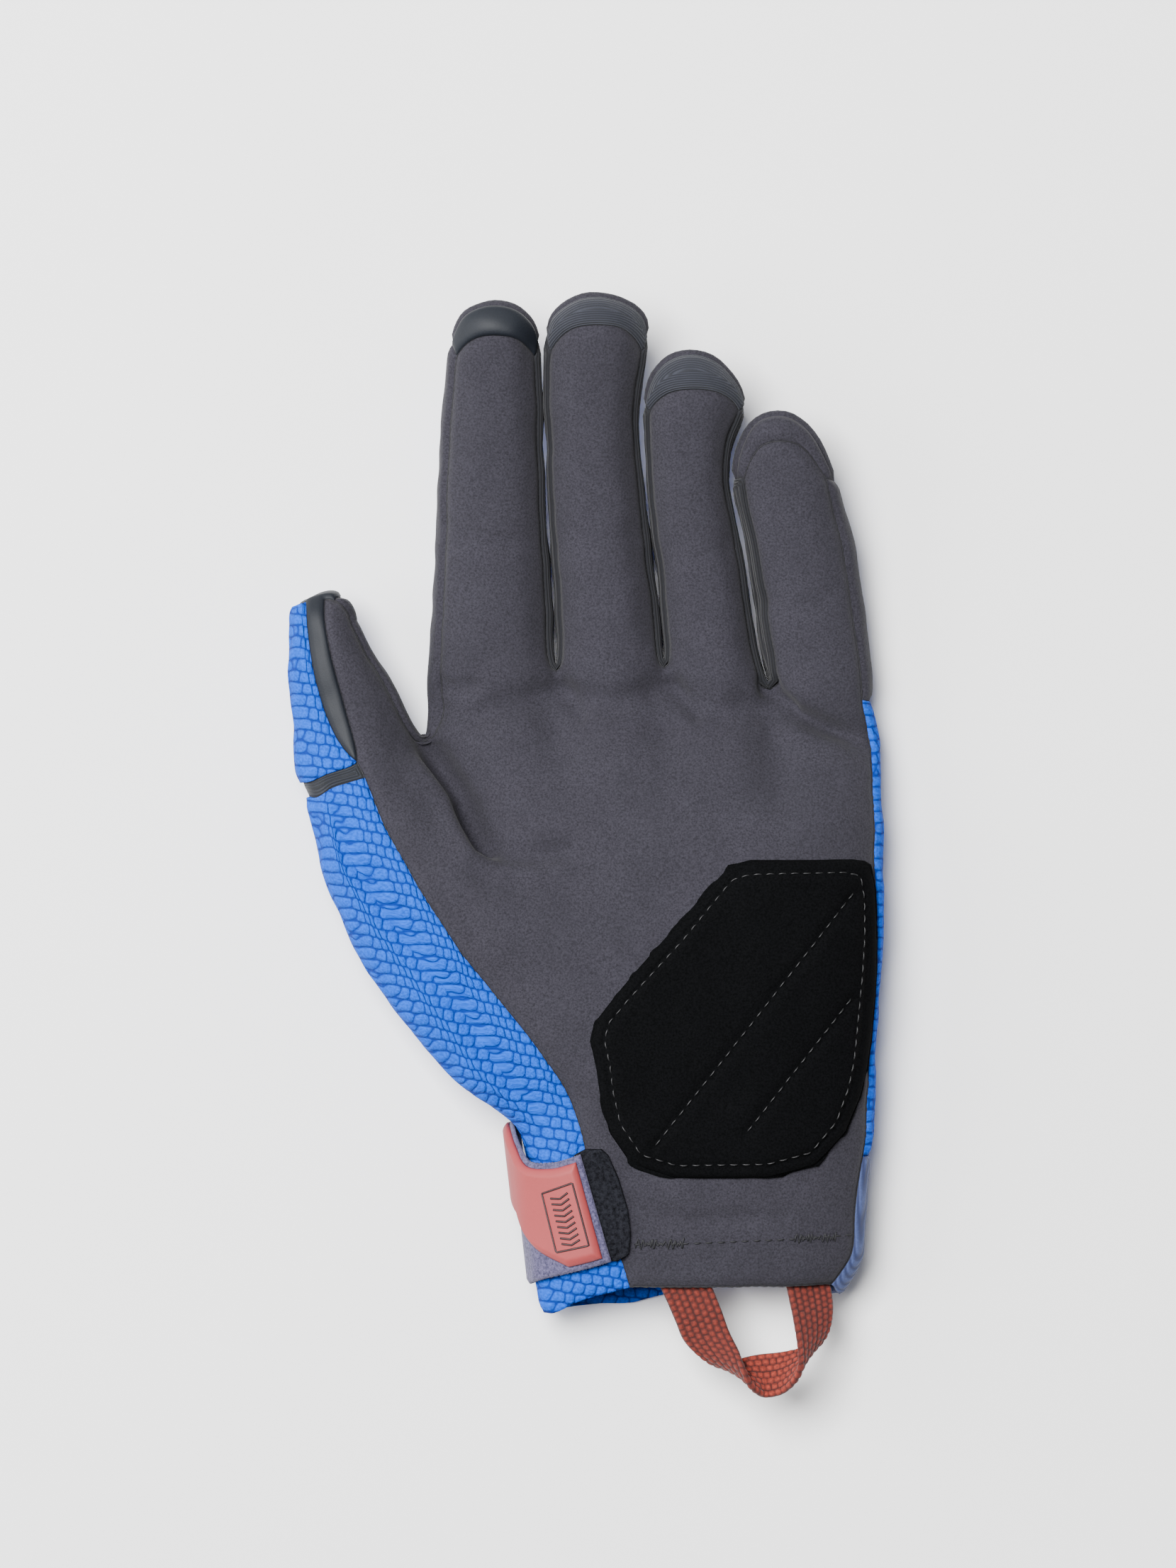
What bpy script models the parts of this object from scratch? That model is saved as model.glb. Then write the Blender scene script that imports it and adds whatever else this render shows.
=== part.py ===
"""Left full-finger glove, lying palm up and filled to the shape of a hand.

The skin of the glove is one shell of named panels. Its front and its back share one
plan, whose rows and columns follow the seams, and a ribbon of side cells joins them
round every digit. Each panel is that skin given the thickness of its cloth.
"""

from collections import namedtuple

import bpy
import numpy as np
from mathutils import Vector
from mathutils.bvhtree import BVHTree

# Driving sizes, in metres.
PALM_LENGTH = 0.1300  # hem to the fork beside the middle finger
PALM_WIDTH = 0.0956  # across the knuckles
PALM_THICKNESS = 0.0290
INDEX_LENGTH = 0.0789
MIDDLE_LENGTH = 0.0800
RING_LENGTH = 0.0705
LITTLE_LENGTH = 0.0611
FINGER_THICKNESS = 0.0196
THUMB_THICKNESS = 0.0225
FINGER_CURL = 0.0180  # rise of the middle fingertip above its root
SUEDE = 0.0014  # thickness of each cloth
KNIT = 0.0017
STRETCH = 0.0011
SEAM_GAP = 0.0003
PAD_THICKNESS = 0.0030  # heel patch at its middle
HOOK_THICKNESS = 0.0008
STRAP_THICKNESS = 0.0010
GRIP_THICKNESS = 0.0014
GRIP_MARGIN = 0.0016  # cloth left bare beyond the end of the grip
WEBBING_WIDTH = 0.0100
WEBBING_THICKNESS = 0.0012
LAYER_GAP = 0.0004

# Columns across the plan: the knit side, the ball of the thumb, then five a finger.
VALLEY, SEAM, SPLIT, FINGER = 2, 4, 7, 5
LAST = SPLIT + 4 * FINGER
# Rows up the plan: the body as far as the thumb's web, then to the finger forks.
WEB, FORK = 15, 18
WEB_HEIGHT = 0.883  # of PALM_LENGTH, at the thumb's web
WEB_SLOPE = ((0, 0.810), (SEAM, 0.8446), (SPLIT, WEB_HEIGHT), (LAST, WEB_HEIGHT))
HEM_FRONT = ((0, -0.046), (SEAM, 0.0), (LAST, 0.0))
HEM_BACK = ((0, -0.046), (SEAM, -0.034), (12, -0.008), (20, -0.008), (LAST, -0.023))
HEM_SIDE = -0.019  # right-hand corner of the hem
FORK_SHARES = (0.2945, 0.534, 0.773)  # forks, from the thumb's web to the right edge
SIDE_STEPS = (0.5, 0.83)  # ribbon lines from the front seam out to the edge
BACK_STEPS = (0.7,)
FRONT_POWER, BACK_POWER, DIGIT_POWER = 2.6, 4.0, 2.2
FORK_BLEND = 0.25  # of PALM_LENGTH, where the palm thins towards the forks

# at: share of the web's height. Across: shares of PALM_WIDTH from the palm's middle.
# mid and rise: height of the side edge, and of the palm above it, by PALM_THICKNESS.
Row = namedtuple("Row", "at left valley seam split right mid rise")
BODY = (
    Row(0, -0.2470, -0.1600, -0.0471, 0.0105, 0.4236, 0.414, 0.400),
    Row(0.05, -0.2600, -0.1700, -0.0659, 0.0021, 0.4665, 0.428, 0.414),
    Row(0.10, -0.2620, -0.1841, -0.0868, -0.0105, 0.4749, 0.441, 0.428),
    Row(0.17, -0.2650, -0.2010, -0.1151, -0.0314, 0.4801, 0.455, 0.445),
    Row(0.24, -0.2720, -0.2160, -0.1444, -0.0523, 0.4854, 0.469, 0.462),
    Row(0.29, -0.2800, -0.2300, -0.1548, -0.0628, 0.4937, 0.476, 0.476),
    Row(0.37, -0.2960, -0.2500, -0.1870, -0.0860, 0.4957, 0.483, 0.494),
    Row(0.42, -0.4170, -0.3243, -0.2197, -0.1151, 0.4957, 0.490, 0.510),
    Row(0.51, -0.5084, -0.3797, -0.2971, -0.1726, 0.5025, 0.493, 0.528),
    Row(0.60, -0.5900, -0.4561, -0.3849, -0.2458, 0.5115, 0.493, 0.541),
    Row(0.69, -0.6590, -0.5397, -0.4592, -0.3243, 0.5145, 0.490, 0.541),
    Row(0.78, -0.7050, -0.6161, -0.5209, -0.3923, 0.5130, 0.483, 0.528),
    Row(0.845, -0.7354, -0.6653, -0.5649, -0.4341, 0.5125, 0.476, 0.514),
    Row(0.90, -0.7450, -0.6880, -0.5983, -0.4634, 0.5110, 0.466, 0.497),
    Row(0.9855, -0.7790, -0.7120, -0.6402, -0.5000, 0.5075, 0.448, 0.469),
    Row(1, -0.7897, -0.7186, -0.6475, -0.5052, 0.5065, 0.445, 0.466),
)
# Finger forks. across by PALM_WIDTH, up by PALM_LENGTH.
Fork = namedtuple("Fork", "column across up")
FORKS = (
    Fork(SPLIT, -0.4770, 1.0080),
    Fork(SPLIT + 5, -0.2128, 0.9969),
    Fork(SPLIT + 10, 0.0277, 1.0054),
    Fork(SPLIT + 15, 0.2636, 0.9700),
    Fork(LAST, 0.4725, 0.9500),
)
# root: height of the fork line by PALM_LENGTH. arch and corner: the front seam at its
# crown and at its ends, cap: where the tip starts to round, all by length. lean: sideways
# shift of the tip by PALM_WIDTH. left and right: the front seam's share of the half width.
Digit = namedtuple("Digit", "name length root arch corner cap lean left right curl rows")
DIGITS = (
    Digit("index", INDEX_LENGTH, 1.0, 0.896, 0.847, 0.888, 0.0, 0.83, 0.90, 0.86, 9),
    Digit("middle", MIDDLE_LENGTH, 1.0015, 0.910, 0.840, 0.893, 0.0, 0.88, 0.88, 1.0, 9),
    Digit("ring", RING_LENGTH, 0.988, 0.864, 0.810, 0.811, -0.016, 0.88, 0.86, 0.92, 8),
    Digit("little", LITTLE_LENGTH, 0.9615, 0.879, 0.745, 0.738, -0.016, 0.78, 0.80, 0.72, 7),
)
# at: share of the digit's length. left and right by PALM_WIDTH. thick by FINGER_THICKNESS.
Station = namedtuple("Station", "at left right thick")
OUTLINES = {
    "index": (
        Station(0, -0.4990, -0.2150, 1.0),
        Station(0.224, -0.4864, -0.2222, 0.98),
        Station(0.433, -0.4791, -0.2353, 0.94),
        Station(0.644, -0.4707, -0.2397, 0.90),
        Station(0.80, -0.4580, -0.2450, 0.84),
        Station(0.888, -0.4480, -0.2460, 0.80),
    ),
    "middle": (
        Station(0, -0.2115, 0.0257, 1.0),
        Station(0.22, -0.2186, 0.0119, 0.98),
        Station(0.425, -0.2320, -0.0124, 0.94),
        Station(0.53, -0.2345, -0.0194, 0.92),
        Station(0.74, -0.2413, -0.0263, 0.87),
        Station(0.84, -0.2410, -0.0030, 0.84),
        Station(0.895, -0.2410, -0.0005, 0.80),
    ),
    "ring": (
        Station(0, 0.0297, 0.2560, 0.97),
        Station(0.05, 0.0290, 0.2420, 0.96),
        Station(0.19, 0.0200, 0.2240, 0.94),
        Station(0.44, -0.0005, 0.1950, 0.91),
        Station(0.625, -0.0150, 0.1700, 0.87),
        Station(0.72, -0.0195, 0.1778, 0.84),
        Station(0.811, -0.0215, 0.2154, 0.80),
    ),
    "little": (
        Station(0, 0.2660, 0.4948, 0.93),
        Station(0.10, 0.2490, 0.4906, 0.92),
        Station(0.37, 0.2205, 0.4655, 0.89),
        Station(0.57, 0.1995, 0.4446, 0.86),
        Station(0.71, 0.1755, 0.4153, 0.82),
        Station(0.738, 0.1740, 0.4100, 0.80),
    ),
}
# The thumb, from its web to where its tip rounds. x by PALM_WIDTH, y by PALM_LENGTH.
# touch and front: the two edges of the smooth strip, as shares of the thumb's width.
Thumb = namedtuple("Thumb", "at left_x left_y right_x right_y touch front mid half")
THUMB = (
    Thumb(0.0, -0.7897, 0.8100, -0.5052, 0.8830, 0.50, 0.50, 0.56, 0.50),
    Thumb(0.2, -0.7960, 0.8654, -0.5357, 0.9231, 0.37, 0.515, 0.58, 0.48),
    Thumb(0.4, -0.7992, 0.9192, -0.5660, 0.9692, 0.30, 0.52, 0.61, 0.455),
    Thumb(0.6, -0.8044, 0.9769, -0.5990, 1.0115, 0.255, 0.525, 0.64, 0.43),
    Thumb(0.8, -0.8065, 1.0323, -0.6310, 1.0523, 0.25, 0.53, 0.67, 0.40),
    Thumb(1.0, -0.8054, 1.0823, -0.6560, 1.0823, 0.235, 0.56, 0.70, 0.365),
)
THUMB_ROWS = 5
THUMB_CAP = 0.0530  # length of the rounded tip by PALM_LENGTH
THUMB_IN, THUMB_OUT, THUMB_ARCH = 0.087, 0.955, 0.84
# Swells and folds of the palm side. from and to: x by PALM_WIDTH, y by PALM_LENGTH.
# spread by PALM_WIDTH, height by PALM_THICKNESS.
Fold = namedtuple("Fold", "name x0 y0 x1 y1 spread height")
FOLDS = (
    Fold("thumb fold", -0.500, 0.880, -0.375, 0.765, 0.060, -0.150),
    Fold("end of the thumb fold", -0.375, 0.765, -0.180, 0.690, 0.055, -0.060),
    Fold("ball of the thumb", -0.600, 0.800, -0.430, 0.600, 0.120, 0.080),
    Fold("hollow of the palm", -0.230, 0.760, 0.050, 0.640, 0.180, -0.080),
    Fold("crease under the fingers", -0.420, 0.950, 0.400, 0.900, 0.075, -0.055),
)
RIDGE_HEIGHT, VALLEY_DEPTH = 0.085, 0.050  # padded roll on the thumb side


def smooth(share):
    """An even start and end between 0 and 1."""
    share = min(max(share, 0.0), 1.0)
    return share * share * (3 - 2 * share)


def lens(share, power):
    """Height of a rounded section at a share of its half width."""
    return max(0.0, 1 - abs(share) ** power) ** (1 / power)


def at_column(points, column):
    return float(np.interp(column, [p[0] for p in points], [p[1] for p in points]))


def along(rows, at, field):
    """One column of a table, read between its rows on a smooth curve."""
    x = np.array([row.at for row in rows])
    y = np.array([getattr(row, field) for row in rows])
    at = min(max(at, x[0]), x[-1])
    i = min(int(np.searchsorted(x, at, side="right")), len(x) - 1)
    slope = np.gradient(y, x)
    step = x[i] - x[i - 1]
    t = (at - x[i - 1]) / step
    start = (1 + 2 * t) * (1 - t) ** 2 * y[i - 1] + t * (1 - t) ** 2 * step * slope[i - 1]
    end = t * t * (3 - 2 * t) * y[i] - t * t * (1 - t) * step * slope[i]
    return float(start + end)


def inset(r):
    """The front seam's distance from the left and right edges of a body row."""
    right = 0.0125 if BODY[min(r, WEB)].at > 0.2 else 0.023
    return 0.026, right


def body_x(r, column):
    row = BODY[r]
    left, right = inset(r)
    ends = (row.split, row.right - right)
    forks = [ends[0] + share * (ends[1] - ends[0]) for share in FORK_SHARES]
    columns = (0, VALLEY, SEAM, SPLIT, 12, 17, 22, LAST)
    across = (row.left + left, row.valley, row.seam, row.split, *forks, ends[1])
    return float(np.interp(column, columns, across)) * PALM_WIDTH


def body_y(r, column, hem):
    start = at_column(hem, column)
    return (start + BODY[r].at * (at_column(WEB_SLOPE, column) - start)) * PALM_LENGTH


def palm_plan(r, column, hem=HEM_FRONT):
    """Plan position of a column on a body row or on a row between web and forks."""
    if r <= WEB:
        return body_x(r, column), body_y(r, column, hem)
    share = (r - WEB) / (FORK - WEB)
    x0, y0 = body_x(WEB, column), body_y(WEB, column, hem)
    if column == SPLIT:
        x0 = FORKS[0].across * PALM_WIDTH
    x1 = at_column([(f.column, f.across) for f in FORKS], column) * PALM_WIDTH
    y1 = at_column([(f.column, f.up) for f in FORKS], column) * PALM_LENGTH
    return x0 + share * (x1 - x0), y0 + share * (y1 - y0)


def section(r, x, side, narrow):
    """Height of the palm's front or back across the whole body or the palm alone."""
    row = BODY[min(r, WEB)]
    left = -0.502 if narrow else row.left
    t = (2 * x / PALM_WIDTH - left - row.right) / (row.right - left)
    mid = row.mid * PALM_THICKNESS
    if side > 0:
        return mid + row.rise * PALM_THICKNESS * lens(t, FRONT_POWER)
    return max(0.0, mid * (1 - 1.05 * lens(t, BACK_POWER)))


def finger_of(column):
    return min((column - SPLIT) // FINGER, 3)


def root_mid(digit):
    return 0.52 * FINGER_THICKNESS


def crown(column, side):
    """Height of the fork line, where the palm opens into the fingers."""
    digit = DIGITS[finger_of(column)]
    half = 0.5 * FINGER_THICKNESS * OUTLINES[digit.name][0].thick
    step = (column - SPLIT) % FINGER
    if column in (SPLIT, LAST):
        share = digit.left if column == SPLIT else digit.right
    elif step == 0:
        share = 0.87
    else:
        t = 2 * step / FINGER - 1
        share = t * (digit.left if t < 0 else digit.right)
    return max(0.0, root_mid(digit) + side * half * lens(share, DIGIT_POWER))


def thumb_width_share(column, at):
    """Where a thumb column lies between the thumb's left and right edges."""
    touch, front = along(THUMB, at, "touch"), along(THUMB, at, "front")
    right = 1.0 - (1.0 - THUMB_OUT) * smooth(at / 0.2)
    columns = (0, SEAM, SEAM + 1, 8)
    return float(np.interp(column, columns, (THUMB_IN, touch, front, right)))


def thumb_height(share, at, cap, side):
    mid = along(THUMB, at, "mid") * THUMB_THICKNESS
    half = along(THUMB, at, "half") * THUMB_THICKNESS
    return mid + side * half * lens(np.hypot(2 * share - 1, cap), DIGIT_POWER)


def web_z(side):
    mid, half = THUMB[0].mid * THUMB_THICKNESS, THUMB[0].half * THUMB_THICKNESS
    return mid + side * 0.60 * half


def web_target(column, side):
    """Height of the web row, where the body opens into the thumb and the palm."""
    if column == SPLIT:
        return web_z(side)
    if column > SPLIT:
        return section(WEB, body_x(WEB, column), side, True)
    thumb_column = column if column <= SEAM else column + 1
    return thumb_height(thumb_width_share(thumb_column, 0.0), 0.0, 0.0, side)


def relief(x, y):
    """Folds and swells of the palm side at a point of the plan."""
    total = 0.0
    for fold in FOLDS:
        start = np.array((fold.x0 * PALM_WIDTH, fold.y0 * PALM_LENGTH))
        end = np.array((fold.x1 * PALM_WIDTH, fold.y1 * PALM_LENGTH))
        line = end - start
        share = np.clip(np.dot((x, y) - start, line) / np.dot(line, line), 0, 1)
        gap = np.linalg.norm((x, y) - start - share * line)
        total += fold.height * np.exp(-((gap / (fold.spread * PALM_WIDTH)) ** 2))
    return total * PALM_THICKNESS


def roll(r, column):
    """The padded roll and the valley beside it, on the knit side of the front."""
    if not 7 <= r <= 13 or column > VALLEY:
        return 0.0
    fade = min(1.0, (14 - r) / 2)
    shape = (0.5 * RIDGE_HEIGHT, RIDGE_HEIGHT, -VALLEY_DEPTH)
    return shape[column] * fade * PALM_THICKNESS


def palm_z(r, column, side):
    x, y = palm_plan(r, column)
    xw = body_x(WEB, column)
    to_web = smooth((BODY[min(r, WEB)].at - 0.70) / 0.30)
    z = section(r, x, side, r > WEB)
    if r <= WEB:
        z += to_web * (web_target(column, side) - section(WEB, xw, side, False))
    if column >= SPLIT and (column, r) != (SPLIT, WEB):
        xf, yf = palm_plan(FORK, column)
        to_fork = smooth((y - yf) / (FORK_BLEND * PALM_LENGTH) + 1)
        z += to_fork * (crown(column, side) - section(FORK, xf, side, True))
    if side > 0:
        z += relief(x, y) + roll(r, column)
    return max(0.0, z)


def palm_mid(r, right):
    """Height of the side edge of the body."""
    mid = BODY[min(r, WEB)].mid * PALM_THICKNESS
    if right or r > WEB:
        y = palm_plan(r, LAST if right else SPLIT)[1]
        fork = palm_plan(FORK, LAST if right else SPLIT)[1]
        digit = DIGITS[3 if right else 0]
        return mid + smooth((y - fork) / (FORK_BLEND * PALM_LENGTH) + 1) * (root_mid(digit) - mid)
    to_web = smooth((BODY[r].at - 0.70) / 0.30)
    return mid + to_web * (THUMB[0].mid * THUMB_THICKNESS - BODY[WEB].mid * PALM_THICKNESS)


def finger_frame(digit, y):
    """Middle, half width, middle height and half thickness of a finger at a height."""
    root = digit.root * PALM_LENGTH
    at = (y - root) / digit.length
    outline = OUTLINES[digit.name]
    left = along(outline, at, "left") * PALM_WIDTH
    right = along(outline, at, "right") * PALM_WIDTH
    lean = digit.lean * PALM_WIDTH * smooth((at - digit.cap) / (1 - digit.cap))
    mid = root_mid(digit) + digit.curl * FINGER_CURL * max(0.0, at) ** 2
    half = 0.5 * FINGER_THICKNESS * along(outline, at, "thick")
    return 0.5 * (left + right) + lean, 0.5 * (right - left), mid, half


def finger_point(digit, share, y, side):
    """A point of a finger's front or back, at a share of its half width."""
    middle, width, mid, half = finger_frame(digit, y)
    cap = (digit.root * PALM_LENGTH + digit.cap * digit.length, (1 - digit.cap) * digit.length)
    beyond = max(0.0, y - cap[0]) / cap[1]
    height = half * lens(np.hypot(share, beyond), DIGIT_POWER)
    return middle + share * width, y, max(0.0, mid + side * height)


class Shell:
    """Points of the skin by key, and its faces by panel."""

    def __init__(self):
        self.index = {}
        self.points = []
        self.faces = []
        self.panels = []

    def point(self, key, position):
        if key not in self.index:
            self.index[key] = len(self.points)
            self.points.append(tuple(float(v) for v in position))
        return self.index[key]

    def face(self, corners, panel):
        kept = [c for i, c in enumerate(corners) if c != corners[i - 1]]
        if len(kept) > 2:
            self.faces.append(kept)
            self.panels.append(panel)


def key_of(digit, k, c):
    """Key of a digit's plan point. The root row is shared with the body."""
    if digit == "thumb":
        body = c if c <= SEAM else c - 1
        return ("body", WEB, body) if k == 0 else ("thumb", k, c)
    start = SPLIT + FINGER * [d.name for d in DIGITS].index(digit)
    return ("body", FORK, start + c) if k == 0 else (digit, k, c)


def finger_plan(digit, k, c, side):
    step = 2 * c / FINGER - 1
    start = SPLIT + FINGER * DIGITS.index(digit)
    base = palm_plan(FORK, start + c)[1]
    rise = digit.corner + (digit.arch - digit.corner) * lens(step, 2.5)
    top = (digit.root * PALM_LENGTH) + rise * digit.length
    y = base + (top - base) * k / digit.rows
    share = step * (digit.left if step < 0 else digit.right)
    return finger_point(digit, share, y, side), share, y


def thumb_plan(k, c, side):
    at = min(1.0, k / (THUMB_ROWS - 1))
    share = thumb_width_share(c, at)
    left = (along(THUMB, at, "left_x") * PALM_WIDTH, along(THUMB, at, "left_y") * PALM_LENGTH)
    right = (along(THUMB, at, "right_x") * PALM_WIDTH, along(THUMB, at, "right_y") * PALM_LENGTH)
    x = left[0] + share * (right[0] - left[0])
    y = left[1] + share * (right[1] - left[1])
    cap = 0.0
    if k == THUMB_ROWS:
        cap = np.sqrt(max(0.012, THUMB_ARCH**2 - (2 * share - 1) ** 2))
        y += cap * THUMB_CAP * PALM_LENGTH
    return (x, y, thumb_height(share, at, cap, side)), share, cap


def add_sheets(shell):
    """Front and back points and cells of the body, the thumb and the fingers."""
    for side, hem in ((1, HEM_FRONT), (-1, HEM_BACK)):
        for r in range(FORK + 1):
            for c in range(0 if r <= WEB else SPLIT, LAST + 1):
                plan = palm_plan(r, c, hem)
                shell.point((side, "body", r, c), (*plan, palm_z(r, c, side)))
        for k in range(1, THUMB_ROWS + 1):
            for c in range(9):
                shell.point((side, "thumb", k, c), thumb_plan(k, c, side)[0])
        for digit in DIGITS:
            for k in range(1, digit.rows + 1):
                for c in range(FINGER + 1):
                    shell.point((side, digit.name, k, c), finger_plan(digit, k, c, side)[0])
    cells = []
    for r in range(FORK):
        for c in range(0 if r < WEB else SPLIT, LAST):
            corners = [("body", r, c), ("body", r, c + 1), ("body", r + 1, c + 1), ("body", r + 1, c)]
            front = "palm_panel"
            if c < SEAM:
                front = "thumb_flex_strip" if r == WEB - 1 else "thumb_side_panel"
            cells.append((corners, front, "back_panel"))
    for k in range(THUMB_ROWS):
        for c in range(8):
            front = "thumb_back" if c < SEAM else "thumb_touch_patch" if c == SEAM else "palm_panel"
            cells.append((cell("thumb", k, c), front, "thumb_back"))
    for digit in DIGITS:
        for k in range(digit.rows):
            for c in range(FINGER):
                back = "back_panel"
                if k == digit.rows - 1:
                    back = digit.name + "_tip_back"
                cells.append((cell(digit.name, k, c), "palm_panel", back))
    for corners, front, back in cells:
        shell.face([shell.index[(1, *key)] for key in corners], front)
        shell.face([shell.index[(-1, *key)] for key in reversed(corners)], back)


def cell(digit, k, c):
    around = ((k, c), (k, c + 1), (k + 1, c + 1), (k + 1, c))
    return [key_of(digit, *place) for place in around]


# One step of the path round the plan: the seam point, the edge beside it, the seam's
# share of the half width, and the panel of the ribbon cell that follows.
Step = namedtuple("Step", "key edge share panel powers")
BODY_POWERS = (FRONT_POWER, BACK_POWER)
DIGIT_POWERS = (DIGIT_POWER, DIGIT_POWER)


def finger_steps(digit, left_panel, right_panel):
    """Up one side of a finger, over its tip and down the other side."""
    steps = []
    cap = digit.root * PALM_LENGTH + digit.cap * digit.length
    reach = (1 - digit.cap) * digit.length
    for k in range(1, digit.rows + 1):
        _, share, y = finger_plan(digit, k, 0, 1)
        middle, width, mid, _ = finger_frame(digit, min(y, cap))
        if k < digit.rows:
            edge = (middle - width, min(y, cap), mid)
            steps.append(Step(key_of(digit.name, k, 0), edge, abs(share), left_panel, DIGIT_POWERS))
    for c in range(FINGER + 1):
        _, share, y = finger_plan(digit, digit.rows, c, 1)
        turn = np.pi * (1 - c / FINGER)
        edge_y = cap + reach * np.sin(turn)
        middle, width, mid, _ = finger_frame(digit, edge_y)
        beyond = np.hypot(share, max(0.0, y - cap) / reach)
        edge = (middle + width * np.cos(turn), edge_y, mid)
        panel = digit.name + "_tip_strip" if c < FINGER else right_panel
        steps.append(Step(key_of(digit.name, digit.rows, c), edge, beyond, panel, DIGIT_POWERS))
    for k in range(digit.rows - 1, 0, -1):
        _, share, y = finger_plan(digit, k, FINGER, 1)
        middle, width, mid, _ = finger_frame(digit, min(y, cap))
        edge = (middle + width, min(y, cap), mid)
        steps.append(Step(key_of(digit.name, k, FINGER), edge, share, right_panel, DIGIT_POWERS))
    return steps


def fork_step(column, panel):
    x, y = palm_plan(FORK, column)
    mid = root_mid(DIGITS[finger_of(column)])
    return Step(("body", FORK, column), (x, y, mid), 0.87, panel, DIGIT_POWERS)


def thumb_steps():
    steps = []
    for k in range(1, THUMB_ROWS + 1):
        at = min(1.0, k / (THUMB_ROWS - 1))
        if k < THUMB_ROWS:
            edge = thumb_edge(at, "left", 0.0)
            share = 1 - 2 * THUMB_IN
            steps.append(Step(("thumb", k, 0), edge, share, "thumb_back", DIGIT_POWERS))
    for c in range(9):
        (x, y, _), share, cap = thumb_plan(THUMB_ROWS, c, 1)
        turn = np.pi * (1 - (share - THUMB_IN) / (THUMB_OUT - THUMB_IN))
        middle = 0.5 * (THUMB[-1].left_x + THUMB[-1].right_x) * PALM_WIDTH
        width = 0.5 * (THUMB[-1].right_x - THUMB[-1].left_x) * PALM_WIDTH
        reach = THUMB_CAP * PALM_LENGTH * np.sin(turn)
        mid = THUMB[-1].mid * THUMB_THICKNESS
        edge = (middle + width * np.cos(turn), THUMB[-1].left_y * PALM_LENGTH + reach, mid)
        panel = "thumb_back" if c < SEAM else "thumb_touch_patch"
        panel = "thumb_index_gusset" if c == 8 else panel
        beyond = min(0.93, np.hypot(2 * share - 1, cap))
        steps.append(Step(("thumb", THUMB_ROWS, c), edge, beyond, panel, DIGIT_POWERS))
    for k in range(THUMB_ROWS - 1, 0, -1):
        edge = thumb_edge(k / (THUMB_ROWS - 1), "right", 0.0)
        share = 2 * thumb_width_share(8, k / (THUMB_ROWS - 1)) - 1
        steps.append(Step(("thumb", k, 8), edge, share, "thumb_index_gusset", DIGIT_POWERS))
    return steps


def thumb_edge(at, hand, lift):
    x = along(THUMB, at, hand + "_x") * PALM_WIDTH
    y = along(THUMB, at, hand + "_y") * PALM_LENGTH
    return x, y, along(THUMB, at, "mid") * THUMB_THICKNESS + lift


def path_steps():
    """The whole path, from the hem on the thumb side round to the hem on the other."""
    steps = []
    for r in range(WEB + 1):
        row = BODY[r]
        panel = "thumb_side_panel" if r < WEB - 1 else "thumb_flex_strip"
        panel = "thumb_back" if r == WEB else panel
        edge = (row.left * PALM_WIDTH, body_y(r, 0, HEM_FRONT), palm_mid(r, False))
        share = 1 - 2 * inset(r)[0] / (row.right - row.left)
        steps.append(Step(("body", r, 0), edge, share, panel, BODY_POWERS))
    steps += thumb_steps()
    web = palm_plan(WEB, SPLIT)
    edge = (*web, THUMB[0].mid * THUMB_THICKNESS)
    steps.append(Step(("body", WEB, SPLIT), edge, 0.85, "thumb_index_gusset", DIGIT_POWERS))
    for r in range(WEB + 1, FORK + 1):
        y = palm_plan(r, SPLIT)[1]
        x = (-0.4990 if r < FORK else OUTLINES["index"][0].left) * PALM_WIDTH
        edge = (x, y, palm_mid(r, False))
        steps.append(Step(("body", r, SPLIT), edge, 0.90, "thumb_index_gusset", DIGIT_POWERS))
    gussets = ("thumb_index_gusset", "gusset_index_middle", "gusset_middle_ring", "gusset_ring_little")
    sides = (*gussets, "little_outer_side")
    for i, digit in enumerate(DIGITS):
        if i:
            steps.append(fork_step(SPLIT + FINGER * i, gussets[i]))
        steps += finger_steps(digit, sides[i], sides[i + 1])
    for r in range(FORK, -1, -1):
        row = BODY[min(r, WEB)]
        x, y = palm_plan(r, LAST)
        panel = "back_panel" if r > 4 else "cuff_side_elastic"
        width = row.right if r <= WEB else row.right - 0.010 * (r - WEB) / 2
        if r < 2:
            y += HEM_SIDE * PALM_LENGTH * (1 - BODY[r].at / 0.1)
        share = 1 - 2 * inset(r)[1] / (row.right - row.left)
        edge = (width * PALM_WIDTH, y, palm_mid(r, True))
        steps.append(Step(("body", r, LAST), edge, share, panel, BODY_POWERS))
    return steps


def add_ribbon(shell, steps):
    """The side cells between the front seam and the back seam."""
    lines = []
    for step in steps:
        front = np.array(shell.points[shell.index[(1, *step.key)]])
        back = np.array(shell.points[shell.index[(-1, *step.key)]])
        edge = np.array(step.edge)
        line = [shell.index[(1, *step.key)]]
        for seam, power, shares in ((front, step.powers[0], SIDE_STEPS), (back, step.powers[1], BACK_STEPS)):
            ring = []
            for w in shares:
                place = seam + w * (edge - seam)
                inner = lens(step.share, power)
                height = lens(step.share + w * (1 - step.share), power) / inner
                place[2] = edge[2] + height * (seam[2] - edge[2])
                ring.append(shell.point(("side", power, w, seam[2] > edge[2], *step.key), place))
            if seam is front:
                line += ring
                line.append(shell.point(("edge", *step.key), edge))
            else:
                line += reversed(ring)
        line.append(shell.index[(-1, *step.key)])
        lines.append(line)
    for i in range(len(lines) - 1):
        for j in range(len(lines[i]) - 1):
            panel = steps[i].panel
            if panel.endswith("_tip_strip") and j >= len(SIDE_STEPS):
                panel = panel.replace("_strip", "_back")
            corners = (lines[i][j], lines[i + 1][j], lines[i + 1][j + 1], lines[i][j + 1])
            shell.face(list(corners), panel)


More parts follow.
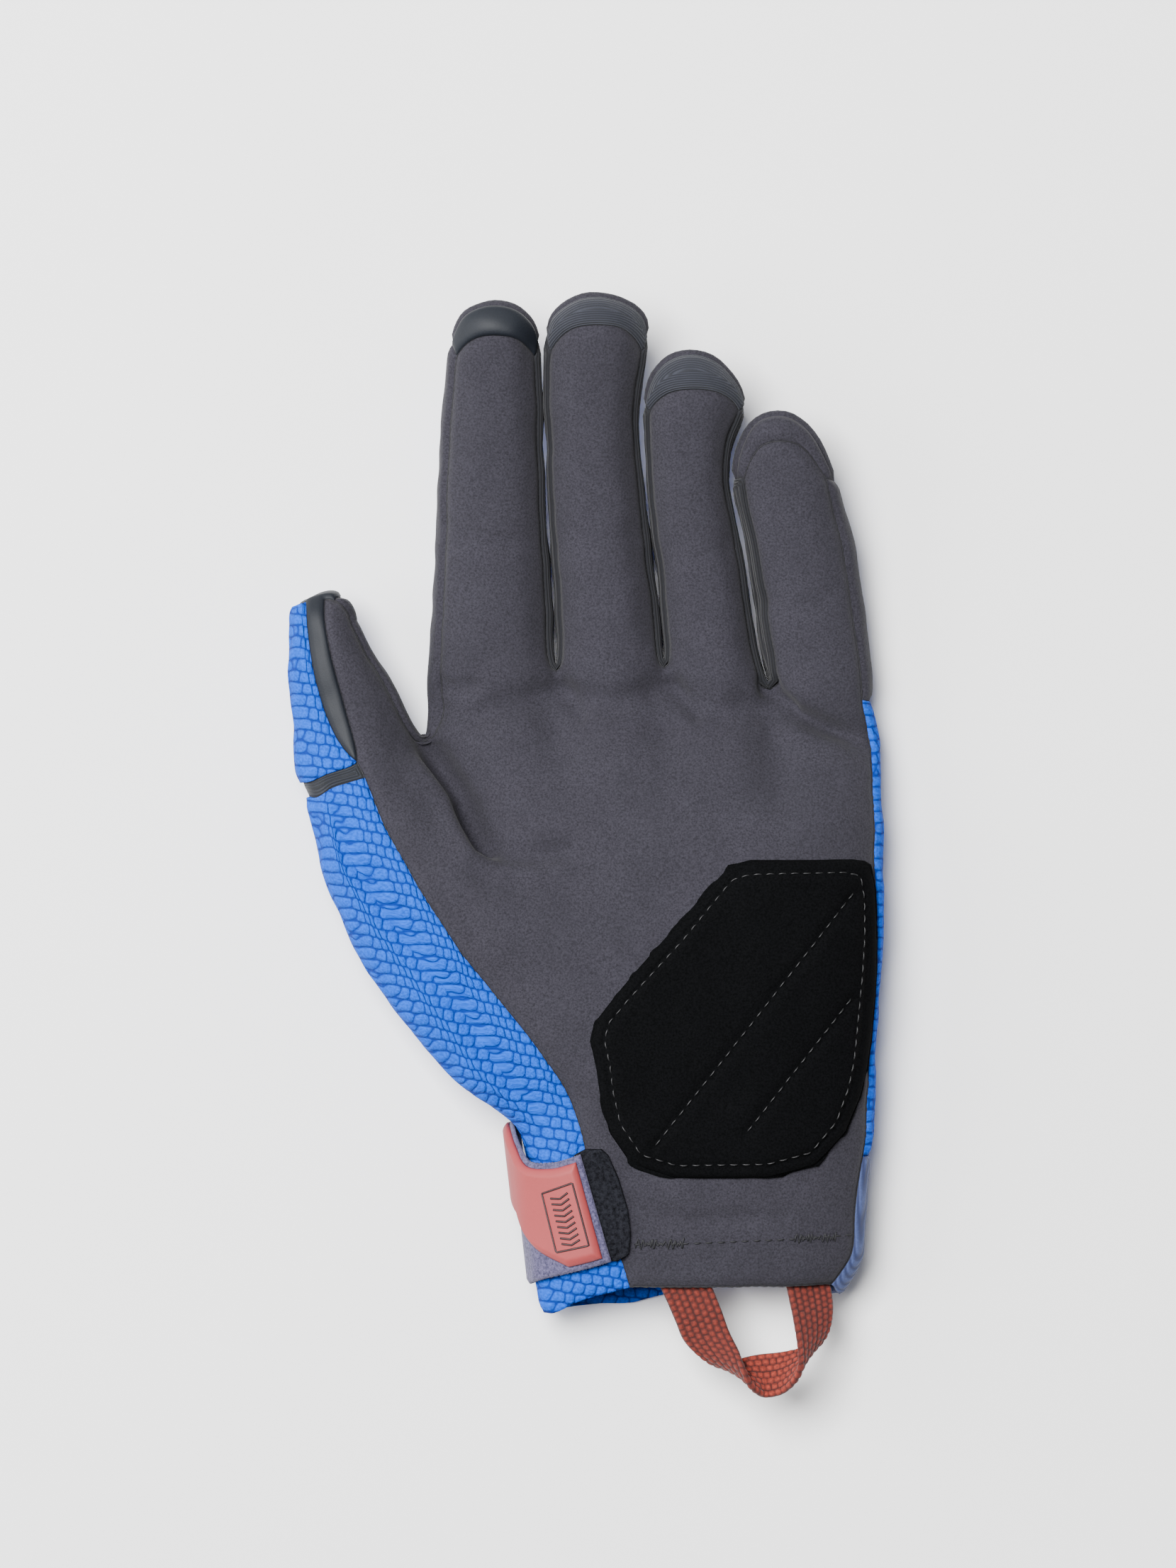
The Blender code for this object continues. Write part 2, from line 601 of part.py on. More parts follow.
def corner_normals(points, faces):
    """Smooth normal of each point, weighted by the area round it."""
    normals = np.zeros_like(points)
    for face in faces:
        ring = points[face]
        area = sum(np.cross(ring[i] - ring[0], ring[i + 1] - ring[0]) for i in range(1, len(face) - 1))
        normals[face] += area
    length = np.linalg.norm(normals, axis=1, keepdims=True)
    return normals / np.maximum(length, 1e-12)


def drawn_in(points, faces, distance, reach=2.5):
    """The points of one panel with its outline drawn in by a distance along its cloth."""
    edges = {}
    for face in faces:
        middle = points[face].mean(axis=0)
        for a, b in zip(face, face[1:] + face[:1]):
            edges.setdefault((min(a, b), max(a, b)), []).append((a, b, middle))
    pull = {}
    for uses in edges.values():
        if len(uses) > 1:
            continue
        a, b, middle = uses[0]
        line = points[b] - points[a]
        line /= max(np.linalg.norm(line), 1e-12)
        inward = middle - points[a]
        inward -= line * inward.dot(line)
        inward /= max(np.linalg.norm(inward), 1e-12)
        for end in (a, b):
            pull.setdefault(end, []).append(inward)
    moved = points.copy()
    for vertex, directions in pull.items():
        mean = np.mean(directions, axis=0)
        size = np.linalg.norm(mean)
        if size > 1e-6:
            moved[vertex] += mean / size * distance * min(1 / size, reach)
    return moved


def closed_sheet(outer, inner, faces):
    """Corners and faces of the solid between two sheets that share their faces."""
    used = sorted({v for face in faces for v in face})
    place = {v: i for i, v in enumerate(used)}
    count = len(used)
    corners = np.concatenate((outer[used], inner[used]))
    solid = [[place[v] for v in face] for face in faces]
    solid += [[place[v] + count for v in reversed(face)] for face in faces]
    seen = {(place[a], place[b]) for face in faces for a, b in zip(face, face[1:] + face[:1])}
    for a, b in sorted(seen):
        if (b, a) not in seen:
            solid.append([b, a, a + count, b + count])
    return corners, solid


# lift: height of the panel's face above the skin, and inset: how far its inner face keeps
# back from the seam, by SEAM_GAP. wall: its cloth.
Cloth = namedtuple("Cloth", "panel wall lift inset colour")
GREY, BLUE = (0.080, 0.076, 0.095), (0.008, 0.150, 0.640)
SLATE, NAVY, BLACK = (0.048, 0.055, 0.070), (0.045, 0.072, 0.190), (0.010, 0.011, 0.013)
CLOTHS = (
    Cloth("palm_panel", SUEDE, 0.0, 2.5, GREY),
    Cloth("back_panel", KNIT, 0.0, 2.5, BLUE),
    Cloth("thumb_side_panel", KNIT, 0.0, 2.5, BLUE),
    Cloth("thumb_back", KNIT, 0.0, 2.5, BLUE),
    Cloth("thumb_flex_strip", STRETCH, -1.5, 2.5, BLACK),
    Cloth("thumb_touch_patch", SUEDE, 0.0, 2.5, SLATE),
    Cloth("thumb_index_gusset", SUEDE, 0.0, 2.5, GREY),
    Cloth("gusset_index_middle", STRETCH, -0.5, 2.5, SLATE),
    Cloth("gusset_middle_ring", STRETCH, -0.5, 2.5, SLATE),
    Cloth("gusset_ring_little", STRETCH, -0.5, 2.5, SLATE),
    Cloth("index_tip_strip", SUEDE, 0.0, 1.0, SLATE),
    Cloth("middle_tip_strip", STRETCH, 0.0, 1.0, SLATE),
    Cloth("ring_tip_strip", STRETCH, 0.0, 1.0, SLATE),
    Cloth("little_tip_strip", SUEDE, 0.0, 1.0, GREY),
    Cloth("index_tip_back", SUEDE, 0.0, 2.5, GREY),
    Cloth("middle_tip_back", SUEDE, 0.0, 2.5, GREY),
    Cloth("ring_tip_back", SUEDE, 0.0, 2.5, GREY),
    Cloth("little_tip_back", SUEDE, 0.0, 2.5, GREY),
    Cloth("little_outer_side", SUEDE, 0.0, 2.5, GREY),
    Cloth("cuff_side_elastic", STRETCH, -0.5, 2.5, NAVY),
)


class Surface:
    """The finished skin, for the pieces that are laid on it."""

    def __init__(self, points, normals, faces):
        triangles = [(f[0], f[i], f[i + 1]) for f in faces for i in range(1, len(f) - 1)]
        self.points, self.normals, self.triangles = points, normals, triangles
        self.tree = BVHTree.FromPolygons([Vector(p) for p in points], triangles)

    def above(self, x, y, lift):
        """The point at a height above the skin, along the skin's own normal."""
        hit, _, index, _ = self.tree.ray_cast(Vector((x, y, 1.0)), Vector((0, 0, -1)))
        corners = [self.points[i] for i in self.triangles[index]]
        a, b, c = (corner[:2] for corner in corners)
        area = np.linalg.det(np.array((b - a, c - a)))
        u = np.linalg.det(np.array((b - np.array((x, y)), c - np.array((x, y))))) / area
        v = np.linalg.det(np.array((c - np.array((x, y)), a - np.array((x, y))))) / area
        weights = (u, v, 1 - u - v)
        normal = sum(w * self.normals[i] for w, i in zip(weights, self.triangles[index]))
        return np.array(hit) + normal / np.linalg.norm(normal) * lift


def grid_faces(rows, columns):
    """Cells of a grid of points, counter-clockwise for rows that run up the plan."""
    faces = []
    for r in range(rows):
        for c in range(columns):
            a = r * (columns + 1) + c
            faces.append([a, a + 1, a + columns + 2, a + columns + 1])
    return faces


# Heel patch. y by PALM_LENGTH, left and right by PALM_WIDTH.
Band = namedtuple("Band", "at left right")
HEEL = (
    Band(0.1790, 0.040, 0.255),
    Band(0.1990, -0.045, 0.360),
    Band(0.2520, -0.095, 0.424),
    Band(0.3100, -0.115, 0.456),
    Band(0.3560, -0.124, 0.472),
    Band(0.4000, -0.137, 0.480),
    Band(0.4320, -0.127, 0.484),
    Band(0.4750, -0.082, 0.489),
    Band(0.5170, -0.034, 0.492),
    Band(0.5820, 0.045, 0.493),
    Band(0.6470, 0.123, 0.489),
    Band(0.6860, 0.172, 0.478),
    Band(0.6940, 0.215, 0.440),
)
HEEL_COLUMNS = 10


def heel_patch(surface):
    """A padded patch on the heel of the hand, thin along its stitched border."""
    outer, inner = [], []
    for i, band in enumerate(HEEL):
        for c in range(HEEL_COLUMNS + 1):
            share = np.sin(0.5 * np.pi * c / HEEL_COLUMNS)
            x = (band.left + share * (band.right - band.left)) * PALM_WIDTH
            y = band.at * PALM_LENGTH
            border = i in (0, len(HEEL) - 1) or c in (0, HEEL_COLUMNS)
            thick = PAD_THICKNESS * (0.45 if border else 1.0)
            inner.append(surface.above(x, y, LAYER_GAP))
            outer.append(surface.above(x, y, LAYER_GAP + thick))
    return closed_sheet(np.array(outer), np.array(inner), grid_faces(len(HEEL) - 1, HEEL_COLUMNS))


# Hook pad beside the tab. y by PALM_LENGTH, left and right by PALM_WIDTH.
HOOK = (
    Band(0.0446, -0.150, -0.078),
    Band(0.0562, -0.155, -0.052),
    Band(0.0900, -0.165, -0.048),
    Band(0.1300, -0.175, -0.055),
    Band(0.1800, -0.185, -0.075),
    Band(0.2170, -0.170, -0.098),
    Band(0.2260, -0.148, -0.112),
)


def hook_pad(surface):
    outer, inner = [], []
    for band in HOOK:
        for c in range(4):
            x = (band.left + c / 3 * (band.right - band.left)) * PALM_WIDTH
            inner.append(surface.above(x, band.at * PALM_LENGTH, LAYER_GAP))
            outer.append(surface.above(x, band.at * PALM_LENGTH, LAYER_GAP + HOOK_THICKNESS))
    return closed_sheet(np.array(outer), np.array(inner), grid_faces(len(HOOK) - 1, 3))


# Strap round the thumb side of the cuff, from under the back to the end of its tab.
# Its upper and lower edges: x by PALM_WIDTH, y by PALM_LENGTH, and z by PALM_THICKNESS
# where it stands off the cuff, or none where it lies on it. above and below: where the
# grip begins and ends, as shares of the strap's width.
Strap = namedtuple("Strap", "x0 y0 z0 x1 y1 z1 above below")
STRAP = (
    Strap(-0.296, 0.269, 0.086, -0.254, 0.002, 0.086, 0.02, 0.46),
    Strap(-0.308, 0.269, 0.276, -0.263, 0.002, 0.276, 0.02, 0.48),
    Strap(-0.306, 0.260, 0.483, -0.267, 0.002, 0.465, 0.02, 0.50),
    Strap(-0.293, 0.232, 0.620, -0.261, 0.005, 0.590, 0.02, 0.52),
    Strap(-0.257, 0.207, None, -0.230, 0.014, None, 0.04, 0.74),
    Strap(-0.214, 0.205, None, -0.173, 0.026, None, 0.05, 0.94),
    Strap(-0.183, 0.211, None, -0.129, 0.035, None, 0.05, 0.94),
    Strap(-0.154, 0.219, None, -0.088, 0.045, None, 0.05, 0.94),
)
STRAP_CELLS = 5


def strap_sheet(surface):
    """Points across the strap's inner face, row by row from its root to its tab."""
    rows = []
    for row in STRAP:
        top = np.array((row.x0 * PALM_WIDTH, row.y0 * PALM_LENGTH))
        bottom = np.array((row.x1 * PALM_WIDTH, row.y1 * PALM_LENGTH))
        line = []
        for share in np.linspace(0, 1, STRAP_CELLS + 1):
            x, y = top + share * (bottom - top)
            if row.z0 is None:
                line.append(surface.above(x, y, 2 * LAYER_GAP + HOOK_THICKNESS))
            else:
                line.append(np.array((x, y, (row.z0 + share * (row.z1 - row.z0)) * PALM_THICKNESS)))
        rows.append(line)
    return np.array(rows)


def strap_layer(sheet, low, high, grip):
    """One layer of the strap between two heights above its inner face."""
    rows, columns = sheet.shape[:2]
    flat = sheet.reshape(-1, 3)
    normals = corner_normals(flat, grid_faces(rows - 1, columns - 1)).reshape(rows, columns, 3)
    if grip:
        shares = np.linspace(0, 1, columns)
        lines, turned = [], []
        for row, line, normal in zip(STRAP, sheet, normals):
            wanted = row.above + shares * (row.below - row.above)
            lines.append([[np.interp(w, shares, line[:, i]) for i in range(3)] for w in wanted])
            turned.append([[np.interp(w, shares, normal[:, i]) for i in range(3)] for w in wanted])
        sheet, normals = np.array(lines)[1:], np.array(turned)[1:]
        back = sheet[-2] - sheet[-1]
        sheet[-1] += back / np.linalg.norm(back, axis=1, keepdims=True) * GRIP_MARGIN
    flat, normals = sheet.reshape(-1, 3), normals.reshape(-1, 3)
    faces = grid_faces(len(sheet) - 1, columns - 1)
    return closed_sheet(flat + normals * high, flat + normals * low, faces)


# Pull loop under the front of the hem. far and near: the two edges of the webbing,
# across by PALM_WIDTH, up by PALM_LENGTH and high by PALM_THICKNESS.
Web = namedtuple("Web", "far_x far_y far_z near_x near_y near_z")
LOOP = (
    Web(-0.0126, 0.0500, 0.710, 0.0837, 0.0800, 0.710),
    Web(0.0136, 0.0054, 0.710, 0.1098, 0.0354, 0.710),
    Web(0.0319, -0.0238, 0.710, 0.1276, 0.0015, 0.717),
    Web(0.0517, -0.0577, 0.697, 0.1506, -0.0385, 0.724),
    Web(0.0680, -0.0862, 0.672, 0.1705, -0.0723, 0.731),
    Web(0.0941, -0.1077, 0.655, 0.1904, -0.1031, 0.790),
    Web(0.1308, -0.1246, 0.638, 0.2019, -0.1277, 0.890),
    Web(0.1674, -0.1292, 0.628, 0.2155, -0.1538, 0.914),
    Web(0.2040, -0.1169, 0.641, 0.2301, -0.1692, 0.879),
    Web(0.2406, -0.1108, 0.655, 0.2500, -0.1777, 0.824),
    Web(0.2824, -0.1077, 0.655, 0.2866, -0.1708, 0.852),
    Web(0.3243, -0.1023, 0.655, 0.3128, -0.1508, 0.921),
    Web(0.3609, -0.0969, 0.648, 0.3232, -0.1277, 0.938),
    Web(0.3891, -0.0731, 0.631, 0.3211, -0.0954, 0.872),
    Web(0.3996, -0.0431, 0.607, 0.3117, -0.0538, 0.790),
    Web(0.3975, -0.0115, 0.545, 0.3033, -0.0169, 0.680),
    Web(0.3830, 0.0400, 0.530, 0.2918, 0.0350, 0.660),
)


def pull_loop():
    points = []
    for row in LOOP:
        far = np.array((row.far_x * PALM_WIDTH, row.far_y * PALM_LENGTH, row.far_z * PALM_THICKNESS))
        near = np.array((row.near_x * PALM_WIDTH, row.near_y * PALM_LENGTH, row.near_z * PALM_THICKNESS))
        line = (near - far) / np.linalg.norm(near - far)
        points += [far, far + line * 0.5 * WEBBING_WIDTH, far + line * WEBBING_WIDTH]
    flat = np.array(points)
    faces = grid_faces(len(LOOP) - 1, 2)
    normals = corner_normals(flat, faces)
    half = 0.5 * WEBBING_THICKNESS
    return closed_sheet(flat + normals * half, flat - normals * half, faces)


def material(name, colour):
    made = bpy.data.materials.new(name)
    made.use_nodes = True
    shader = made.node_tree.nodes["Principled BSDF"]
    shader.inputs["Base Color"].default_value = (*colour, 1.0)
    shader.inputs["Roughness"].default_value = 0.8
    made.diffuse_color = (*colour, 1.0)
    return made


def build_shell():
    shell = Shell()
    add_sheets(shell)
    add_ribbon(shell, path_steps())
    return shell


def pieces():
    """Corners and faces of every piece, by name."""
    shell = build_shell()
    points = np.array(shell.points)
    normals = corner_normals(points, shell.faces)
    made = {}
    for cloth in CLOTHS:
        faces = [face for face, panel in zip(shell.faces, shell.panels) if panel == cloth.panel]
        lift = cloth.lift * SEAM_GAP
        outer = drawn_in(points, faces, 0.5 * SEAM_GAP) + normals * lift
        inner = drawn_in(points, faces, cloth.inset * SEAM_GAP) + normals * (lift - cloth.wall)
        made[cloth.panel] = (*closed_sheet(outer, inner, faces), cloth.colour)
    surface = Surface(points, normals, shell.faces)
    made["heel_patch"] = (*heel_patch(surface), BLACK)
    made["strap_hook_pad"] = (*hook_pad(surface), BLACK)
    sheet = strap_sheet(surface)
    made["strap_base"] = (*strap_layer(sheet, 0.0, STRAP_THICKNESS, False), (0.150, 0.165, 0.300))
    grip = STRAP_THICKNESS + 0.8 * LAYER_GAP
    layer = strap_layer(sheet, grip, grip + GRIP_THICKNESS, True)
    made["strap_grip"] = (*layer, (0.480, 0.090, 0.090))
    made["pull_loop"] = (*pull_loop(), (0.370, 0.055, 0.033))
    return made


def main():
    for obj in list(bpy.data.objects):
        bpy.data.objects.remove(obj, do_unlink=True)
    collection = bpy.data.collections.new("sports_glove")
    bpy.context.scene.collection.children.link(collection)
    made = pieces()
    everything = np.concatenate([piece[0] for piece in made.values()])
    low, high = everything.min(axis=0), everything.max(axis=0)
    origin = np.array(((low[0] + high[0]) / 2, (low[1] + high[1]) / 2, low[2]))
    for name, (corners, faces, colour) in made.items():
        mesh = bpy.data.meshes.new(name)
        mesh.from_pydata((corners - origin).tolist(), [], faces)
        mesh.update()
        mesh.materials.append(material(name + "_cloth", colour))
        obj = bpy.data.objects.new(name, mesh)
        collection.objects.link(obj)


main()
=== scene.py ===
"""Left sports glove, lying palm up: its dressed panels and its studio."""

from collections import namedtuple

import bpy
import numpy as np
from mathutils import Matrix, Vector, kdtree
from mathutils.bvhtree import BVHTree


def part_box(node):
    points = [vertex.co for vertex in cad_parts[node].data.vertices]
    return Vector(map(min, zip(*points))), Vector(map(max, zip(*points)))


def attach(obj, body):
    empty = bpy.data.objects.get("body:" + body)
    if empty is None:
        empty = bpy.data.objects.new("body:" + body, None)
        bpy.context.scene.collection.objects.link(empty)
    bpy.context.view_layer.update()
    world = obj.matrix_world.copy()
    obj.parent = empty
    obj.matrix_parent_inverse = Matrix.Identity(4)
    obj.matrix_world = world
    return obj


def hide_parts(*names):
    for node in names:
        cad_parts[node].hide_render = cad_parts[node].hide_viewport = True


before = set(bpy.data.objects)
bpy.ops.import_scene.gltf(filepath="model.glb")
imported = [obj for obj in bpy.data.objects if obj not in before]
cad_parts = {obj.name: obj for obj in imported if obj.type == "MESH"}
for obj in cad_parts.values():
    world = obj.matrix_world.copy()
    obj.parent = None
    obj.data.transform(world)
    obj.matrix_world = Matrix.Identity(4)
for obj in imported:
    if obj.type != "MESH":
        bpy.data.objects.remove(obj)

bl_info = {
    "name": "Sports glove",
    "version": (1, 0, 0),
    "blender": (4, 5, 0),
    "location": "View3D > Sidebar > Glove",
    "description": "Dresses the packed sports glove and lays it in a plain studio",
    "category": "Object",
}

# Driving sizes, in metres.
PALM_LENGTH = 0.1300  # hem to the fork beside the middle finger
PALM_WIDTH = 0.0956  # across the knuckles
PALM_THICKNESS = 0.0290
INDEX_LENGTH = 0.0789
MIDDLE_LENGTH = 0.0800
RING_LENGTH = 0.0705
LITTLE_LENGTH = 0.0611
FINGER_THICKNESS = 0.0196
THUMB_THICKNESS = 0.0225
FINGER_CURL = 0.0180  # rise of the middle fingertip above its root
SUEDE = 0.0014  # thickness of each cloth
KNIT = 0.0017
STRETCH = 0.0011
HOOK_THICKNESS = 0.0008
STRAP_THICKNESS = 0.0010
GRIP_THICKNESS = 0.0014
WEBBING_WIDTH = 0.0100
WEBBING_THICKNESS = 0.0012
LAYER_GAP = 0.0004

# Columns across the plan: the knit side, the ball of the thumb, then five a finger.
VALLEY, SEAM, SPLIT, FINGER = 2, 4, 7, 5
LAST = SPLIT + 4 * FINGER
# Rows up the plan: the body as far as the thumb's web, then to the finger forks.
WEB, FORK = 15, 18
WEB_HEIGHT = 0.883  # of PALM_LENGTH, at the thumb's web
WEB_SLOPE = ((0, 0.810), (SEAM, 0.8446), (SPLIT, WEB_HEIGHT), (LAST, WEB_HEIGHT))
HEM_FRONT = ((0, -0.046), (SEAM, 0.0), (LAST, 0.0))
HEM_BACK = ((0, -0.046), (SEAM, -0.034), (12, -0.008), (20, -0.008), (LAST, -0.023))
HEM_SIDE = -0.019  # right-hand corner of the hem
FORK_SHARE = 0.87  # front seam's share of the half width at a fork
FORK_SHARES = (0.2945, 0.534, 0.773)  # forks, from the thumb's web to the right edge
SIDE_STEPS = (0.5, 0.83)  # ribbon lines from the front seam out to the edge
BACK_STEPS = (0.7,)
SEAM_INSET = 0.026  # front seam from the left edge of the body, by PALM_WIDTH
PALM_INSET, CUFF_INSET = 0.0125, 0.023  # and from its right edge, above and below CUFF_TOP
CUFF_TOP = 0.2  # of the web's height
FRONT_POWER, BACK_POWER, DIGIT_POWER = 2.6, 4.0, 2.2
FORK_BLEND = 0.25  # of PALM_LENGTH, where the palm thins towards the forks
WEB_BLEND = 0.70  # of the web's height, where the body starts to turn into the thumb
INDEX_SIDE = -0.4990  # outer edge of the palm between web and index, by PALM_WIDTH
ROOT_MID = 0.52 * FINGER_THICKNESS  # height of the fingers' side edges at their roots

# at: share of the web's height. Across: shares of PALM_WIDTH from the palm's middle.
# mid and rise: height of the side edge, and of the palm above it, by PALM_THICKNESS.
Row = namedtuple("Row", "at left valley seam split right mid rise")
BODY = (
    Row(0, -0.2470, -0.1600, -0.0471, 0.0105, 0.4236, 0.414, 0.400),
    Row(0.05, -0.2600, -0.1700, -0.0659, 0.0021, 0.4665, 0.428, 0.414),
    Row(0.10, -0.2620, -0.1841, -0.0868, -0.0105, 0.4749, 0.441, 0.428),
    Row(0.17, -0.2650, -0.2010, -0.1151, -0.0314, 0.4801, 0.455, 0.445),
    Row(0.24, -0.2720, -0.2160, -0.1444, -0.0523, 0.4854, 0.469, 0.462),
    Row(0.29, -0.2800, -0.2300, -0.1548, -0.0628, 0.4937, 0.476, 0.476),
    Row(0.37, -0.2960, -0.2500, -0.1870, -0.0860, 0.4957, 0.483, 0.494),
    Row(0.42, -0.4170, -0.3243, -0.2197, -0.1151, 0.4957, 0.490, 0.510),
    Row(0.51, -0.5084, -0.3797, -0.2971, -0.1726, 0.5025, 0.493, 0.528),
    Row(0.60, -0.5900, -0.4561, -0.3849, -0.2458, 0.5115, 0.493, 0.541),
    Row(0.69, -0.6590, -0.5397, -0.4592, -0.3243, 0.5145, 0.490, 0.541),
    Row(0.78, -0.7050, -0.6161, -0.5209, -0.3923, 0.5130, 0.483, 0.528),
    Row(0.845, -0.7354, -0.6653, -0.5649, -0.4341, 0.5125, 0.476, 0.514),
    Row(0.90, -0.7450, -0.6880, -0.5983, -0.4634, 0.5110, 0.466, 0.497),
    Row(0.9915, -0.7790, -0.7120, -0.6402, -0.5000, 0.5075, 0.448, 0.469),
    Row(1, -0.7897, -0.7186, -0.6475, -0.5052, 0.5065, 0.445, 0.466),
)
# Finger forks. across by PALM_WIDTH, up by PALM_LENGTH.
Fork = namedtuple("Fork", "column across up")
FORKS = (
    Fork(SPLIT, -0.4770, 1.0080),
    Fork(SPLIT + 5, -0.2128, 0.9969),
    Fork(SPLIT + 10, 0.0277, 1.0054),
    Fork(SPLIT + 15, 0.2636, 0.9700),
    Fork(LAST, 0.4725, 0.9500),
)
# root: height of the fork line by PALM_LENGTH. arch and corner: the front seam at its
# crown and at its ends, cap: where the tip starts to round, all by length. lean: sideways
# shift of the tip by PALM_WIDTH. left and right: the front seam's share of the half width.
Digit = namedtuple("Digit", "name length root arch corner cap lean left right curl rows")
DIGITS = (
    Digit("index", INDEX_LENGTH, 1.0, 0.896, 0.847, 0.888, 0.0, 0.86, 0.97, 0.86, 9),
    Digit("middle", MIDDLE_LENGTH, 1.0015, 0.910, 0.840, 0.893, 0.0, 0.97, 0.97, 1.0, 9),
    Digit("ring", RING_LENGTH, 0.988, 0.864, 0.810, 0.811, -0.016, 0.97, 0.95, 0.92, 8),
    Digit("little", LITTLE_LENGTH, 0.9615, 0.879, 0.745, 0.738, -0.016, 0.84, 0.80, 0.72, 7),
)
# at: share of the digit's length. left and right by PALM_WIDTH. thick by FINGER_THICKNESS.
Station = namedtuple("Station", "at left right thick")
OUTLINES = {
    "index": (
        Station(0, -0.4990, -0.2150, 1.0),
        Station(0.224, -0.4864, -0.2222, 0.98),
        Station(0.433, -0.4791, -0.2353, 0.94),
        Station(0.644, -0.4707, -0.2397, 0.90),
        Station(0.80, -0.4580, -0.2450, 0.84),
        Station(0.888, -0.4480, -0.2460, 0.80),
    ),
    "middle": (
        Station(0, -0.2115, 0.0257, 1.0),
        Station(0.22, -0.2186, 0.0119, 0.98),
        Station(0.425, -0.2320, -0.0124, 0.94),
        Station(0.53, -0.2345, -0.0194, 0.92),
        Station(0.74, -0.2413, -0.0263, 0.87),
        Station(0.84, -0.2410, -0.0030, 0.84),
        Station(0.895, -0.2410, -0.0005, 0.80),
    ),
    "ring": (
        Station(0, 0.0297, 0.2560, 0.97),
        Station(0.05, 0.0290, 0.2420, 0.96),
        Station(0.19, 0.0200, 0.2240, 0.94),
        Station(0.44, -0.0005, 0.1950, 0.91),
        Station(0.625, -0.0150, 0.1700, 0.87),
        Station(0.72, -0.0195, 0.1778, 0.84),
        Station(0.811, -0.0215, 0.2154, 0.80),
    ),
    "little": (
        Station(0, 0.2660, 0.4948, 0.93),
        Station(0.10, 0.2490, 0.4906, 0.92),
        Station(0.37, 0.2205, 0.4655, 0.89),
        Station(0.57, 0.1995, 0.4446, 0.86),
        Station(0.71, 0.1755, 0.4153, 0.82),
        Station(0.738, 0.1740, 0.4100, 0.80),
    ),
}
# The thumb, from its web to where its tip rounds. x by PALM_WIDTH, y by PALM_LENGTH.
# touch and front: the two edges of the smooth strip, as shares of the thumb's width.
Thumb = namedtuple("Thumb", "at left_x left_y right_x right_y touch front mid half")
THUMB = (
    Thumb(0.0, -0.7897, 0.8100, -0.5052, 0.8830, 0.50, 0.50, 0.56, 0.50),
    Thumb(0.2, -0.7960, 0.8654, -0.5357, 0.9231, 0.37, 0.515, 0.58, 0.48),
    Thumb(0.4, -0.7992, 0.9192, -0.5660, 0.9692, 0.30, 0.52, 0.61, 0.455),
    Thumb(0.6, -0.8044, 0.9769, -0.5990, 1.0115, 0.255, 0.525, 0.64, 0.43),
    Thumb(0.8, -0.8065, 1.0323, -0.6310, 1.0523, 0.25, 0.53, 0.67, 0.40),
    Thumb(1.0, -0.8054, 1.0823, -0.6560, 1.0823, 0.235, 0.56, 0.70, 0.365),
)
THUMB_ROWS = 5
THUMB_CAP = 0.0530  # length of the rounded tip by PALM_LENGTH
THUMB_IN, THUMB_OUT = 0.087, 0.955  # its seams, as shares of its width
THUMB_ARCH = 0.84  # bow of the seam over its tip
WEB_FULLNESS = 0.60  # thickness of the web by the thumb's
# Swells and folds of the palm side. from and to: x by PALM_WIDTH, y by PALM_LENGTH.
# spread by PALM_WIDTH, height by PALM_THICKNESS.
Fold = namedtuple("Fold", "name x0 y0 x1 y1 spread height")
FOLDS = (
    Fold("thumb fold", -0.500, 0.880, -0.375, 0.765, 0.060, -0.150),
    Fold("end of the thumb fold", -0.375, 0.765, -0.180, 0.690, 0.055, -0.060),
    Fold("ball of the thumb", -0.600, 0.800, -0.430, 0.600, 0.120, 0.080),
    Fold("hollow of the palm", -0.230, 0.760, 0.050, 0.640, 0.180, -0.080),
    Fold("crease under the fingers", -0.420, 0.950, 0.400, 0.900, 0.075, -0.055),
)
RIDGE_HEIGHT, VALLEY_DEPTH = 0.085, 0.050  # padded roll on the thumb side


def smooth(share):
    """An even start and end between 0 and 1."""
    share = min(max(share, 0.0), 1.0)
    return share * share * (3 - 2 * share)


def lens(share, power):
    """Height of a rounded section at a share of its half width."""
    return max(0.0, 1 - abs(share) ** power) ** (1 / power)


def at_column(points, column):
    return float(np.interp(column, [p[0] for p in points], [p[1] for p in points]))


def along(rows, at, field):
    """One column of a table, read between its rows on a smooth curve."""
    x = np.array([row.at for row in rows])
    y = np.array([getattr(row, field) for row in rows])
    at = min(max(at, x[0]), x[-1])
    i = min(int(np.searchsorted(x, at, side="right")), len(x) - 1)
    slope = np.gradient(y, x)
    step = x[i] - x[i - 1]
    t = (at - x[i - 1]) / step
    start = (1 + 2 * t) * (1 - t) ** 2 * y[i - 1] + t * (1 - t) ** 2 * step * slope[i - 1]
    end = t * t * (3 - 2 * t) * y[i] - t * t * (1 - t) * step * slope[i]
    return float(start + end)


def inset(r):
    """The front seam's distance from the left and right edges of a body row."""
    return SEAM_INSET, PALM_INSET if BODY[min(r, WEB)].at > CUFF_TOP else CUFF_INSET


def body_x(r, column):
    row = BODY[r]
    left, right = inset(r)
    ends = (row.split, row.right - right)
    forks = [ends[0] + share * (ends[1] - ends[0]) for share in FORK_SHARES]
    columns = (0, VALLEY, SEAM, SPLIT, 12, 17, 22, LAST)
    across = (row.left + left, row.valley, row.seam, row.split, *forks, ends[1])
    return float(np.interp(column, columns, across)) * PALM_WIDTH


def body_y(r, column, hem):
    start = at_column(hem, column)
    return (start + BODY[r].at * (at_column(WEB_SLOPE, column) - start)) * PALM_LENGTH


